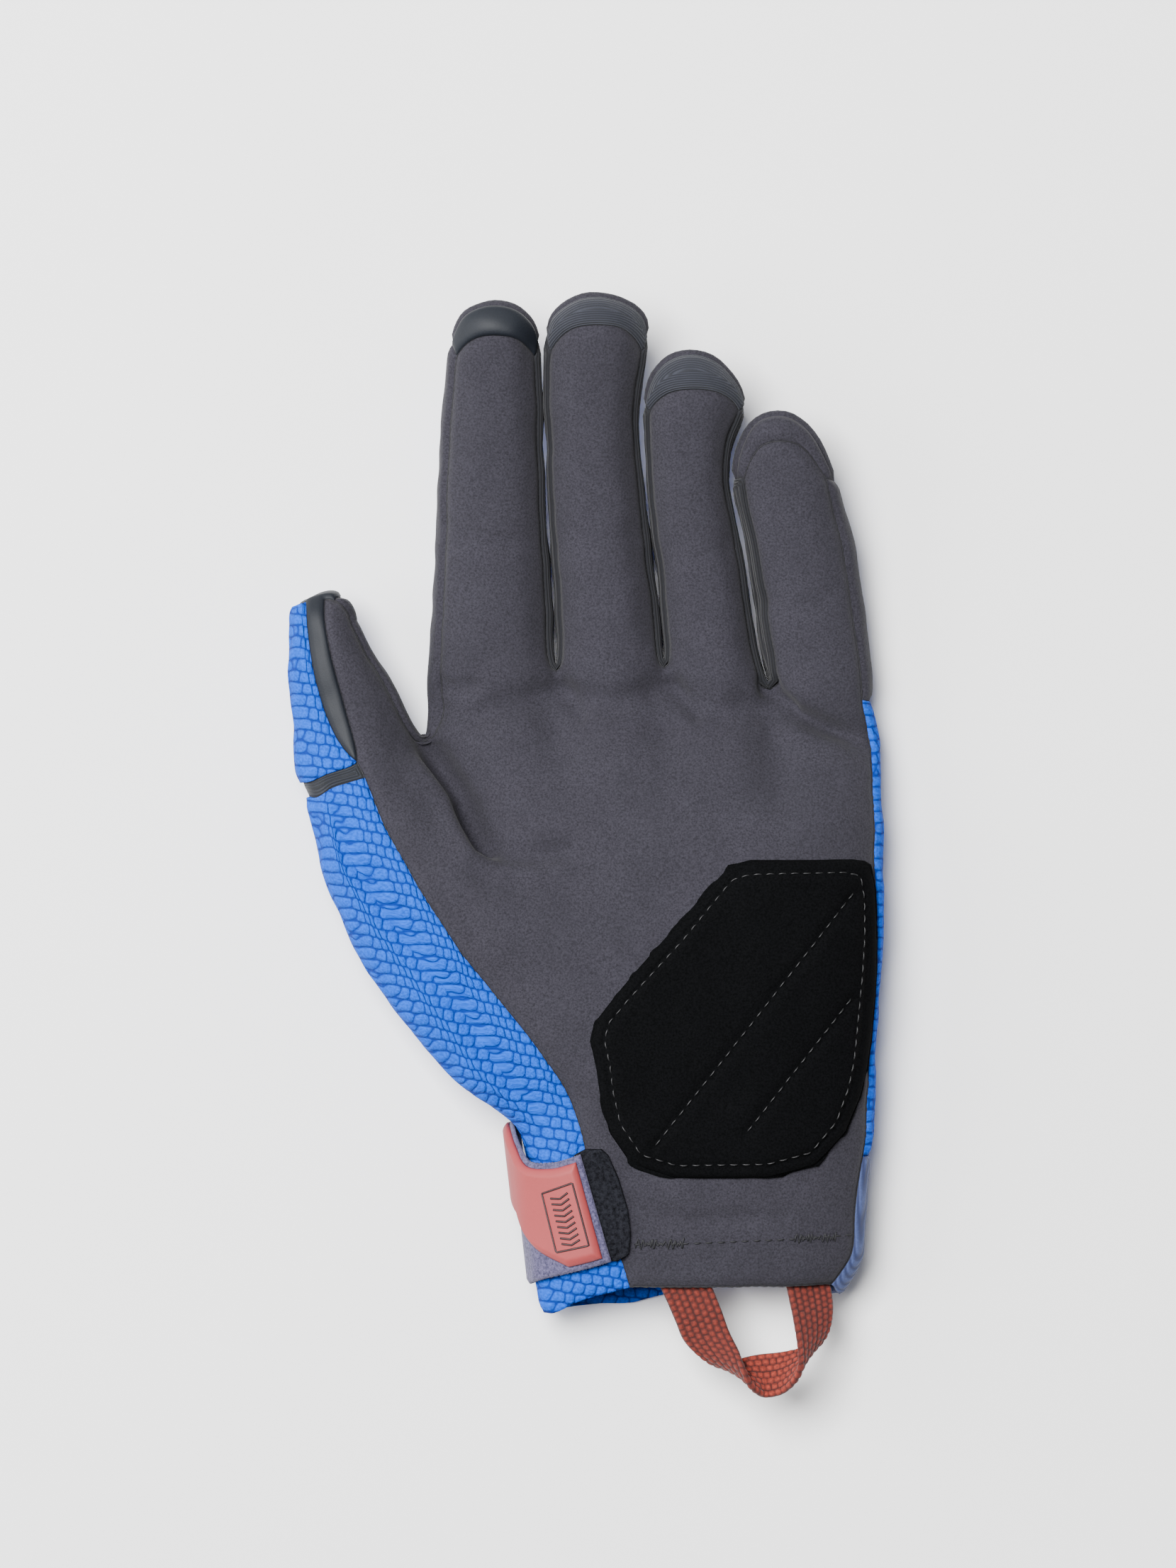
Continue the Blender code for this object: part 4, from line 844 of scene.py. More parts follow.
# Slanting seams and border stitches of the heel patch, and the stitches of the cuff.
HEEL_SEAMS = (((42.5, 83.6), (0.3, 29.9)), ((42.0, 61.4), (19.6, 32.8)))
HEEL_CELLS, HEEL_BORDER = (96, 84), 3.1
CUFF_LINE = ((-4.4, 9.2), (8, 9.4), (20, 9.9), (32, 10.4), (42.4, 11.0))
BAR_TACKS = ((-3.6, 6.9, 7.7, 11.0), (29.9, 39.0, 9.0, 12.0))  # left, right, low and high
TACK_STROKES = 26
SEAM_THREAD = 0.72  # depth of the thread in a seam
# Strap, its tab and the plain raised frame on it, and the hook pad.
STRAP_GRID, HOOK_GRID = (96, 64), (40, 30)
TAB_START, TAB_END = 0.125, 0.055  # bare ends of the strap, as shares of its length
TAB_FRAME = ((-23.3, 19.9), (-16.9, 22.3), (-13.4, 9.1), (-20.3, 7.5), (-23.3, 19.9))
RIDGES = 9
HOOK_HEIGHT, HOOK_DIP = 1.15, 0.45
# Webbing: its grid, and the width and length of one bead of its weave.
LOOP_GRID, BEAD_WIDTH, BEAD_LENGTH, BEAD_HEIGHT = (300, 40), 1.45, 1.5, 0.32
# Camera straight above. Middle and height of the view in the tables' frame.
VIEW_MIDDLE, VIEW_HEIGHT = (-13.6, 106.2), 2000 * 0.1659
CAMERA_HEIGHT, PALM_LEVEL = 1.6, 0.018
FLOOR_SIZE, FLOOR_DROP = 3.0, 0.0002


def loop_sheet():
    """Points across the webbing, row by row round the loop."""
    rows = []
    for row in LOOP:
        far = np.array((row.far_x * PALM_WIDTH, row.far_y * PALM_LENGTH, row.far_z * PALM_THICKNESS))
        near = np.array((row.near_x * PALM_WIDTH, row.near_y * PALM_LENGTH, row.near_z * PALM_THICKNESS))
        way = (near - far) / np.linalg.norm(near - far)
        rows.append([far + way * WEBBING_WIDTH * share for share in (0, 0.5, 1)])
    return np.array(rows)


def origin_of_part():
    """Where the part's own frame lies in the frame of its tables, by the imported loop."""
    flat = loop_sheet().reshape(-1, 3)
    thick = corner_normals(flat, grid_faces(len(LOOP) - 1, 2)) * 0.5 * WEBBING_THICKNESS
    return np.minimum(flat + thick, flat - thick).min(axis=0) - np.array(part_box("pull_loop")[0])


ORIGIN = origin_of_part()


def distance_to_line(plan, line):
    """Distance of plan points to a chain of points, their side, and their share along it."""
    best = np.full(len(plan), 1e9)
    side = np.zeros(len(plan))
    along_line = np.zeros(len(plan))
    line = np.array(line, float)
    total = len(line) - 1
    for i in range(total):
        step = line[i + 1] - line[i]
        share = np.clip(((plan - line[i]) @ step) / step.dot(step), 0, 1)
        away = plan - line[i] - share[:, None] * step
        gap = np.hypot(away[:, 0], away[:, 1])
        nearer = gap < best
        best[nearer] = gap[nearer]
        turn = step[0] * (plan[:, 1] - line[i][1]) - step[1] * (plan[:, 0] - line[i][0])
        side[nearer] = np.sign(turn)[nearer]
        along_line[nearer] = ((i + share) / total)[nearer]
    return best, side, along_line


def bell(distance, width):
    return np.exp(-((distance / width) ** 2))


def ripple(points, size, seed):
    """A smooth even noise over points, from a few turned waves."""
    rng = np.random.default_rng(seed)
    total = np.zeros(len(points))
    for _ in range(9):
        way = rng.normal(size=3)
        way /= np.linalg.norm(way)
        wave = 2 * np.pi / (size * rng.uniform(0.7, 1.6))
        start = rng.uniform(0, 6.28)
        bend = 1.3 * np.sin(points @ np.roll(way, 1) * wave * 0.37)
        total += np.sin(points @ way * wave + start + bend)
    return total / 4.5


def plan_ripple(plan, size, seed):
    """The same noise over plan points in metres."""
    return ripple(np.column_stack((plan / MM, plan[:, :1])), size, seed)


def wrinkles(points, normals):
    """Height of the palm side's folds at points in the tables' frame, in metres."""
    plan = points[:, :2] / MM
    total = np.zeros(len(points))
    for crease in CREASES:
        gap, side, share = distance_to_line(plan, crease.points)
        fade = np.clip(np.minimum(share, 1 - share) / crease.fade, 0, 1)
        fade = fade * fade * (3 - 2 * fade)
        total -= crease.depth * fade * bell(gap, crease.spread)
        swell = bell(gap - 1.6 * crease.spread, 1.2 * crease.spread) * (side < 0)
        total += crease.roll * fade * swell
    total *= np.clip((normals[:, 2] - 0.1) / 0.4, 0, 1)
    total += 0.22 * ripple(points / MM, 15, 3) + 0.10 * ripple(points / MM, 6, 8)
    return total * MM


def smooth_skin(level):
    """The skin as a smooth surface close to its corners: points, quads and panels."""
    shell = build_shell()
    corners = np.array(shell.points) - ORIGIN
    near, _, _ = subdivided(shell, corners, 1)
    missing = corners - near[: len(corners)]
    size = np.linalg.norm(missing, axis=1, keepdims=True)
    missing *= np.minimum(1.0, CAGE_REACH * MM / np.maximum(size, 1e-9))
    return subdivided(shell, corners + CAGE_PULL * missing, level)


def subdivided(shell, corners, level):
    """A cage's smooth surface: points, quads and the number of each quad's panel."""
    mesh = bpy.data.meshes.new("skin_cage")
    mesh.from_pydata(corners.tolist(), [], shell.faces)
    panel = mesh.attributes.new("panel", "INT", "FACE")
    panel.data.foreach_set("value", [PANELS.index(p) for p in shell.panels])
    cage = bpy.data.objects.new("skin_cage", mesh)
    bpy.context.scene.collection.objects.link(cage)
    modifier = cage.modifiers.new("smooth", "SUBSURF")
    modifier.levels = level
    modifier.render_levels = level
    evaluated = cage.evaluated_get(bpy.context.evaluated_depsgraph_get())
    fine = evaluated.to_mesh()
    points = np.empty(len(fine.vertices) * 3, np.float32)
    fine.vertices.foreach_get("co", points)
    quads = np.empty(len(fine.loops), np.int32)
    fine.loops.foreach_get("vertex_index", quads)
    labels = np.empty(len(fine.polygons), np.int32)
    fine.attributes["panel"].data.foreach_get("value", labels)
    evaluated.to_mesh_clear()
    bpy.data.objects.remove(cage, do_unlink=True)
    bpy.data.meshes.remove(mesh)
    return points.reshape(-1, 3).astype(float), quads.reshape(-1, 4), labels


def quad_normals(points, quads):
    corners = points[quads]
    areas = np.cross(corners[:, 2] - corners[:, 0], corners[:, 3] - corners[:, 1])
    normals = np.zeros_like(points)
    for i in range(4):
        np.add.at(normals, quads[:, i], areas)
    return normals / np.maximum(np.linalg.norm(normals, axis=1, keepdims=True), 1e-12)


def border_of(quads):
    """Directed edges that only one quad has."""
    edges = np.concatenate([quads[:, [i, (i + 1) % 4]] for i in range(4)])
    code = np.sort(edges, axis=1)
    _, index, count = np.unique(code, axis=0, return_index=True, return_counts=True)
    return edges[index[count == 1]]


def chain(edges):
    """The edges' corners in order, as one list for each ring or run."""
    follows = {}
    for a, b in edges:
        follows.setdefault(int(a), []).append(int(b))
    runs = []
    while follows:
        start = next(iter(follows))
        run = [start]
        while run[-1] in follows:
            ways = follows[run[-1]]
            after = ways.pop()
            if not ways:
                del follows[run[-1]]
            run.append(after)
            if after == start:
                break
        runs.append(run)
    return runs


class Skin:
    """The smooth skin at one level, with its relief."""

    def __init__(self, level):
        self.points, self.quads, self.labels = smooth_skin(level)
        self.normals = quad_normals(self.points, self.quads)
        self.raised = self.points + self.normals * wrinkles(self.points + ORIGIN, self.normals)[:, None]
        self.turned = quad_normals(self.raised, self.quads)

    def panel(self, name):
        quads = self.quads[self.labels == PANELS.index(name)]
        used, local = np.unique(quads, return_inverse=True)
        return self.raised[used], self.turned[used], local.reshape(-1, 4)


SKINS = {}


def skin(level):
    if level not in SKINS:
        SKINS[level] = Skin(level)
    return SKINS[level]


def new_object(name, points, faces, material, smooth_faces=True):
    mesh = bpy.data.meshes.new(name)
    mesh.from_pydata([tuple(p) for p in points], [], [list(f) for f in faces])
    mesh.update()
    mesh.materials.append(material)
    if smooth_faces:
        mesh.polygons.foreach_set("use_smooth", [True] * len(mesh.polygons))
    obj = bpy.data.objects.new(name, mesh)
    bpy.context.scene.collection.objects.link(obj)
    return obj


def add_vector(obj, name, x, y, z):
    """Keeps three values a point on a mesh, for its material to read."""
    attribute = obj.data.attributes.new(name, "FLOAT_VECTOR", "POINT")
    attribute.data.foreach_set("vector", np.stack((x, y, z), axis=1).astype(np.float32).reshape(-1))


def nearest(points, border):
    """Distance of each point to the nearest of the border's points."""
    tree = kdtree.KDTree(len(border))
    for i, place in enumerate(border):
        tree.insert(place, i)
    tree.balance()
    return np.array([tree.find(place)[2] for place in points])


def tube(path, radius, sides=5):
    """Points and faces of a round tube along a path. radius: one, or one a point."""
    path = np.asarray(path, float)
    count = len(path)
    ways = np.gradient(path, axis=0)
    ways /= np.maximum(np.linalg.norm(ways, axis=1, keepdims=True), 1e-12)
    side = np.cross(ways, (0.0, 0.0, 1.0))
    small = np.linalg.norm(side, axis=1) < 0.1
    side[small] = np.cross(ways[small], (1.0, 0.0, 0.0))
    side /= np.linalg.norm(side, axis=1, keepdims=True)
    over = np.cross(side, ways)
    radius = np.broadcast_to(np.asarray(radius, float), (count,))
    turns = np.arange(sides) * 2 * np.pi / sides
    rings = path[:, None] + radius[:, None, None] * (
        side[:, None] * np.cos(turns)[None, :, None] + over[:, None] * np.sin(turns)[None, :, None])
    faces = []
    for i in range(count - 1):
        for j in range(sides):
            a, b = i * sides + j, i * sides + (j + 1) % sides
            faces.append((a, b, b + sides, a + sides))
    faces.append(tuple(range(sides))[::-1])
    faces.append(tuple((count - 1) * sides + j for j in range(sides)))
    return rings.reshape(-1, 3), faces


def joined(parts):
    """Several (points, faces) as one."""
    points, faces, start = [], [], 0
    for some, ring in parts:
        points.append(np.asarray(some))
        faces += [tuple(v + start for v in face) for face in ring]
        start += len(some)
    return np.concatenate(points), faces


def lengths_along(path):
    steps = np.linalg.norm(np.diff(path, axis=0), axis=1)
    return np.concatenate(([0], np.cumsum(steps)))


def read_path(wanted, at, path):
    return np.stack([np.interp(wanted, at, path[:, i]) for i in range(3)], axis=1)


def even(path, gap):
    """A path read again at even steps."""
    path = np.asarray(path, float)
    at = lengths_along(path)
    return read_path(np.linspace(0, at[-1], max(2, int(round(at[-1] / gap)) + 1)), at, path)


def even_plan(line, gap):
    """A plan line in millimetres, read at even steps as plan points in metres."""
    return even(np.column_stack((line, np.zeros(len(line)))), gap)[:, :2] * MM


def stitches(path, ups, pitch, share, radius):
    """Single stitches along a path: each dips at both ends."""
    parts = []
    at = lengths_along(path)
    count = max(1, int(at[-1] / pitch))
    bend = np.array((-1.2, 0.3, 1.0, 1.0, 0.3, -1.2)) * radius * 0.6
    thick = radius * np.array((0.55, 0.95, 1.0, 1.0, 0.95, 0.55))
    for i in range(count):
        line = (i + np.linspace(0.5 - share / 2, 0.5 + share / 2, 6)) * at[-1] / count
        parts.append(tube(read_path(line, at, path) + read_path(line, at, ups) * bend[:, None], thick))
    return joined(parts)


# Materials. Colours are linear.
def new_group(name, outputs):
    group = bpy.data.node_groups.new(name, "ShaderNodeTree")
    for label, kind in (("Vector", "NodeSocketVector"), ("Scale", "NodeSocketFloat")):
        group.interface.new_socket(label, in_out="INPUT", socket_type=kind)
    for label in outputs:
        group.interface.new_socket(label, in_out="OUTPUT", socket_type="NodeSocketFloat")
    start = group.nodes.new("NodeGroupInput").outputs
    return group, start["Vector"], start["Scale"], group.nodes.new("NodeGroupOutput").inputs


def fill(tree, socket, value):
    """Links a socket to another one, or sets its value."""
    if isinstance(value, bpy.types.NodeSocket):
        tree.links.new(value, socket)
    else:
        socket.default_value = value


def put(tree, kind, **values):
    """A new node, with its inputs by name."""
    node = tree.nodes.new(kind)
    for name, value in values.items():
        fill(tree, node.inputs[name.replace("_", " ")], value)
    return node


def sums(tree, operation, *values):
    """The result of one step of arithmetic."""
    node = tree.nodes.new("ShaderNodeMath")
    node.operation = operation
    for socket, value in zip(node.inputs, values):
        fill(tree, socket, value)
    return node.outputs[0]


def nap_group():
    """Fine specks and soft patches of a short nap."""
    group, vector, scale, end = new_group("nap", ("Speck", "Patch"))
    fine = put(group, "ShaderNodeTexNoise", Vector=vector, Scale=scale, Detail=3.0, Roughness=0.7)
    wide = sums(group, "MULTIPLY", scale, 0.05)
    broad = put(group, "ShaderNodeTexNoise", Vector=vector, Scale=wide, Detail=2.0)
    group.links.new(fine.outputs["Fac"], end["Speck"])
    group.links.new(broad.outputs["Fac"], end["Patch"])
    return group


def cells_group():
    """Pillows of a cellular knit in a sheared grid, and the threads that cross them."""
    group, vector, scale, end = new_group("knit cells", ("Pillow", "Thread"))
    warp = put(group, "ShaderNodeTexNoise", Vector=vector, Scale=180.0, Detail=1.0)
    apart = put(group, "ShaderNodeSeparateXYZ", Vector=vector)
    x, y = apart.outputs["X"], apart.outputs["Y"]
    wobble = sums(group, "MULTIPLY", sums(group, "SUBTRACT", warp.outputs["Fac"], 0.5), 0.55)
    row = sums(group, "MULTIPLY", sums(group, "MULTIPLY_ADD", x, 0.16, y), scale)
    row = sums(group, "ADD", row, wobble)
    shift = sums(group, "MULTIPLY", sums(group, "FLOOR", row), 0.42)
    column = sums(group, "MULTIPLY", sums(group, "MULTIPLY_ADD", y, -0.10, x), scale)
    column = sums(group, "ADD", sums(group, "ADD", column, shift), wobble)
    powers = []
    for way in (column, row):
        away = sums(group, "ABSOLUTE", sums(group, "SUBTRACT", sums(group, "FRACT", way), 0.5))
        powers.append(sums(group, "POWER", sums(group, "MULTIPLY", away, 2.0), 3.5))
    pillow = sums(group, "MAXIMUM", sums(group, "SUBTRACT", 1.0, sums(group, "ADD", *powers)), 0.0)
    fine = sums(group, "MULTIPLY", scale, 4.5)
    thread = put(group, "ShaderNodeTexNoise", Vector=vector, Scale=fine, Detail=2.0)
    group.links.new(pillow, end["Pillow"])
    group.links.new(thread.outputs["Fac"], end["Thread"])
    return group


def ribs_group():
    """Even ribs along the first value of the vector."""
    group, vector, scale, end = new_group("ribs", ("Rib", "Thread"))
    across = put(group, "ShaderNodeSeparateXYZ", Vector=vector).outputs["X"]
    turns = sums(group, "MULTIPLY", sums(group, "MULTIPLY", across, scale), 6.2832)
    rib = sums(group, "MULTIPLY_ADD", sums(group, "SINE", turns), 0.5, 0.5)
    thread = put(group, "ShaderNodeTexNoise", Vector=vector, Scale=2600.0, Detail=2.0)
    group.links.new(rib, end["Rib"])
    group.links.new(thread.outputs["Fac"], end["Thread"])
    return group


def shaded(colour, share):
    return tuple(v * share for v in colour)


class Look:
    """One material: its tree, its vector and its Principled shader."""

    def __init__(self, name, rough, sheen=0.0, specular=0.3):
        self.made = bpy.data.materials.new(name)
        self.made.use_nodes = True
        self.tree = self.made.node_tree
        self.shader = self.tree.nodes["Principled BSDF"]
        for socket, value in (("Roughness", rough), ("Sheen Weight", sheen), ("Sheen Roughness", 0.5),
                              ("Specular IOR Level", specular)):
            self.shader.inputs[socket].default_value = value
        self.place = self.tree.nodes.new("ShaderNodeTexCoord").outputs["Object"]

    def attribute(self, name):
        node = self.tree.nodes.new("ShaderNodeAttribute")
        node.attribute_name = name
        return node.outputs["Vector"]

    def group(self, made, vector, scale):
        node = self.tree.nodes.new("ShaderNodeGroup")
        node.node_tree = made
        self.tree.links.new(vector, node.inputs["Vector"])
        node.inputs["Scale"].default_value = scale
        return node.outputs

    def ramp(self, value, low, high, first, last):
        """A colour between two, as a value goes from low to high."""
        node = put(self.tree, "ShaderNodeMapRange", Value=value, From_Min=low, From_Max=high)
        mix = self.tree.nodes.new("ShaderNodeMix")
        mix.data_type = "RGBA"
        self.tree.links.new(node.outputs[0], mix.inputs["Factor"])
        for socket, colour in ((mix.inputs[6], first), (mix.inputs[7], last)):
            fill(self.tree, socket, (*colour, 1.0) if isinstance(colour, tuple) else colour)
        return mix.outputs[2]

    def finish(self, colour, height, distance):
        self.tree.links.new(colour, self.shader.inputs["Base Color"])
        bump = put(self.tree, "ShaderNodeBump", Height=height, Distance=distance, Strength=1.0)
        self.tree.links.new(bump.outputs[0], self.shader.inputs["Normal"])
        return self.made


GROUPS = {}
LOOKS = {}


def nap_look(name, dark, light, bump=0.00010, scale=2300.0, sheen=0.0, specular=0.2):
    look = Look(name, 0.95, sheen, specular)
    out = look.group(GROUPS["nap"], look.place, scale)
    soft = look.ramp(out["Patch"], 0.35, 0.68, light, shaded(light, 1.14))
    return look.finish(look.ramp(out["Speck"], 0.32, 0.62, dark, soft), out["Speck"], bump)


def knit_look(name, dark, light):
    look = Look(name, 0.9, 0.0, 0.12)
    out = look.group(GROUPS["cells"], look.attribute("cloth"), 410.0)
    body = look.ramp(out["Thread"], 0.35, 0.65, shaded(light, 0.78), shaded(light, 1.18))
    height = sums(look.tree, "MULTIPLY_ADD", out["Thread"], 0.6, out["Pillow"])
    return look.finish(look.ramp(out["Pillow"], 0.0, 0.55, dark, body), height, 0.00042)


def rib_look(name, dark, light, pitch, which="border"):
    look = Look(name, 0.8, 0.05)
    out = look.group(GROUPS["ribs"], look.attribute(which), 1.0 / pitch)
    body = look.ramp(out["Thread"], 0.3, 0.7, shaded(light, 0.85), shaded(light, 1.15))
    height = sums(look.tree, "MULTIPLY_ADD", out["Thread"], 0.3, out["Rib"])
    return look.finish(look.ramp(out["Rib"], 0.0, 0.7, dark, body), height, 0.00018)


def webbing_look(name, dark, light):
    look = Look(name, 0.85, 0.1)
    out = look.group(GROUPS["nap"], look.place, 1900.0)
    body = look.ramp(out["Speck"], 0.35, 0.65, shaded(light, 0.6), shaded(light, 1.3))
    # Painted shade: the colour runs to the dark one in the valleys of the weave, where the bead profile is
    # low.
    bead_and_shade = put(look.tree, "ShaderNodeSeparateXYZ", Vector=look.attribute("bead_and_shade"))
    return look.finish(look.ramp(bead_and_shade.outputs["X"], 0.15, 0.85, dark, body), out["Speck"], 0.00012)


def plain_look(name, colour, rough, bump=0.00005, scale=2500.0, specular=0.4, spread=0.15):
    look = Look(name, rough, 0.0, specular)
    out = look.group(GROUPS["nap"], look.place, scale)
    shade = look.ramp(out["Speck"], 0.3, 0.7, shaded(colour, 1 - spread), shaded(colour, 1 + spread))
    return look.finish(shade, out["Speck"], bump)


def make_looks(settings):
    suede, knit = tuple(settings.suede), tuple(settings.knit)
    rubber, webbing = tuple(settings.rubber), tuple(settings.webbing)
    GROUPS.update(nap=nap_group(), cells=cells_group(), ribs=ribs_group())
    LOOKS.update({
        "suede": nap_look("grey suede", (0.0105, 0.0098, 0.0135), suede, sheen=0.04),
        "knit": knit_look("blue knit", (0.000, 0.020, 0.200), knit),
        "rib": rib_look("slate rib", (0.008, 0.009, 0.013), (0.020, 0.022, 0.031), 0.00048),
        # Near-black gussets: painted shade of the slits between the fingers.
        "gusset": rib_look("gusset rib and gap shade", (0.002, 0.002, 0.003), (0.0065, 0.0070, 0.0100), 0.0006),
        "dark rib": rib_look("dark rib", (0.004, 0.005, 0.007), (0.012, 0.014, 0.019), 0.0006),
        "elastic": rib_look("navy elastic", (0.018, 0.026, 0.075), (0.040, 0.058, 0.150), 0.0011, "cloth"),
        "touch": plain_look("touch cloth", (0.0055, 0.0072, 0.0110), 0.6, 0.00003, 3000.0, 0.25),
        "heel": nap_look("black patch", (0.0004, 0.0005, 0.0006), (0.0020, 0.0021, 0.0025), 0.00005, 2200.0,
                         specular=0.05),
        "hook": nap_look("hook tape", (0.001, 0.001, 0.002), (0.010, 0.0105, 0.014), 0.0004, 1200.0,
                         specular=0.1),
        "loop cloth": nap_look("lavender cloth", (0.025, 0.024, 0.052), (0.090, 0.080, 0.150), 0.0003, 1600.0,
                               sheen=0.1),
        "rubber": plain_look("terracotta rubber", rubber, 0.6, 0.00001, 1200.0, 0.35, 0.03),
        "mark": plain_look("dark rubber", (0.022, 0.006, 0.007), 0.5),
        "webbing": webbing_look("rust webbing", (0.030, 0.004, 0.003), webbing),
        # Dark thread: also the palm seams' dark line, which is partly painted seam shadow.
        "thread": plain_look("dark thread", (0.006, 0.006, 0.008), 0.7),
        "black thread": plain_look("black thread", (0.006, 0.006, 0.007), 0.5),
    })


def ready(obj, part_of=()):
    """Hands a finished piece to the part's body."""
    if part_of:
        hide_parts(*part_of)
    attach(obj, "root")


def make_panel(cloth, settings):
    """One sewn panel with its creases, dipping at its seams."""
    fine = skin(settings.fine_level if cloth.fine else settings.coarse_level)
    base, normals, quads = fine.panel(cloth.panel)
    edges = border_of(quads)
    away = nearest(base, base[np.unique(edges)])
    depth, width = SEAM_DIPS.get(cloth.finish, PLAIN_DIP)
    lift = -depth * bell(away / MM, width)
    if cloth.finish == "knit":
        lift += 0.12 * ripple(base / MM, 4.5, 21)
    if cloth.panel == "thumb_flex_strip":
        lift -= FLEX_DEPTH
    outer = base + normals * (lift * MM)[:, None]
    inner = base - normals * (cloth.wall + BACKING * MM)
    count = len(base)
    faces = quads.tolist()
    faces += [[v + count for v in reversed(q)] for q in quads.tolist()]
    faces += [[b, a, a + count, b + count] for a, b in edges.tolist()]
    place = np.concatenate((outer, inner))
    obj = new_object("skin_" + cloth.panel, place, faces, LOOKS[cloth.finish])
    x, y, z = place.T
    turned = np.concatenate((normals, normals))[:, 0]
    steep = np.clip(-turned, 0, 1) * (x < 0.02) - np.clip(turned, 0, 1) * (x > 0.04)
    add_vector(obj, "cloth", x + steep * (PALM_LEVEL - z) * 0.9, y, z)
    add_vector(obj, "border", np.concatenate((away, away)), y, z)
    ready(obj, (cloth.panel,))


def tree_over(points, faces):
    return BVHTree.FromPolygons([Vector(p) for p in points], faces)


def surface_of(settings):
    """The raised skin, to lay things on."""
    fine = skin(settings.fine_level)
    return tree_over(fine.raised, fine.quads.tolist())


def laid(tree, plan, lift):
    """Points over plan positions of the tables' frame at a height above the skin, and its ups."""
    points, ups = [], []
    for x, y in plan:
        place = Vector((x - ORIGIN[0], y - ORIGIN[1], 1.0))
        hit, normal, _, _ = tree.ray_cast(place, Vector((0, 0, -1)))
        if hit is None:
            hit, normal, _, _ = tree.find_nearest(Vector((place.x, place.y, 0.02)))
        if normal.z < 0.25:
            normal = Vector((normal.x, normal.y, 0.25)).normalized()
        points.append(np.array(hit) + np.array(normal) * lift)
        ups.append(np.array(normal))
    return np.array(points), np.array(ups)


def sheet_solid(name, outer, inner, size, material):
    """The solid between two grids of points."""
    faces = grid_faces(size[0] - 1, size[1] - 1)
    return new_object(name, *closed_sheet(outer.reshape(-1, 3), inner.reshape(-1, 3), faces), material)


def blurred(grid, times):
    """A grid of values evened out with its neighbours, its outline kept."""
    for _ in range(times):
        inner = 0.25 * (grid[:-2, 1:-1] + grid[2:, 1:-1] + grid[1:-1, :-2] + grid[1:-1, 2:])
        grid[1:-1, 1:-1] = 0.5 * grid[1:-1, 1:-1] + 0.5 * inner
    return grid


def band_plan(bands, rows, shares):
    """Plan points over a table of bands, row by row, at shares of each row's width."""
    at = [band.at for band in bands]
    wanted = np.linspace(at[0], at[-1], rows)
    left, right = (np.interp(wanted, at, [getattr(b, side) for b in bands]) for side in ("left", "right"))
    x = (left[:, None] + shares[None] * (right - left)[:, None]) * PALM_WIDTH
    y = np.repeat(wanted[:, None] * PALM_LENGTH, len(shares), axis=1)
    return np.stack((x, y), axis=2).reshape(-1, 2)


def unit(ways):
    return ways / np.maximum(np.linalg.norm(ways, axis=-1, keepdims=True), 1e-12)


def grid_normals(grid):
    return unit(np.cross(np.gradient(grid, axis=1), np.gradient(grid, axis=0)))


def make_heel(settings):
    """Padded patch with its stitched border and its two slanting seams."""
    tree = surface_of(settings)
    rows, columns = HEEL_CELLS
    plan = band_plan(HEEL, rows, 0.5 - 0.5 * np.cos(np.pi * np.linspace(0, 1, columns)))
    left = [(band.left * PALM_WIDTH, band.at * PALM_LENGTH) for band in HEEL]
    right = [(band.right * PALM_WIDTH, band.at * PALM_LENGTH) for band in HEEL]
    outline = np.array(left + right[::-1]) / MM
    gap, _, _ = distance_to_line(plan / MM, np.concatenate((outline, outline[:1])))
    lift = 1.0 + 1.7 * np.clip(gap / 4.0, 0, 1) ** 0.6 - 0.55 * bell(gap - 2.6, 0.55)
    for seam in HEEL_SEAMS:
        lift -= 0.75 * bell(distance_to_line(plan / MM, seam)[0], 1.0)
    lift += 0.12 * plan_ripple(plan, 9, 5)
    lift = np.where(gap < 0.4, 0.7, lift)
    inner, _ = laid(tree, plan, 0.05 * MM)
    heights = blurred(inner[:, 2].reshape(rows, columns).copy(), 12)
    inner[:, 2] = np.minimum(heights.reshape(-1), inner[:, 2] + MM)
    ways = unit(grid_normals(inner.reshape(rows, columns, 3)).reshape(-1, 3) + (0, 0, 0.8))
    outer = inner + ways * (lift * MM)[:, None]
    obj = sheet_solid("skin_heel_patch", outer, inner, HEEL_CELLS, LOOKS["heel"])
    ready(obj, ("heel_patch",))
    cover = tree_over(outer, grid_faces(rows - 1, columns - 1))
    ring = outline + unit(outline.mean(axis=0) - outline) * HEEL_BORDER
    parts = []
    for line in (np.concatenate((ring, ring[:1])), *HEEL_SEAMS):
        place, ups = laid(cover, even_plan(line, 0.8), 0.05 * MM)
        parts.append(stitches(place, ups, 0.0026, 0.68, 0.00017))
    ready(new_object("heel_stitches", *joined(parts), LOOKS["black thread"]))


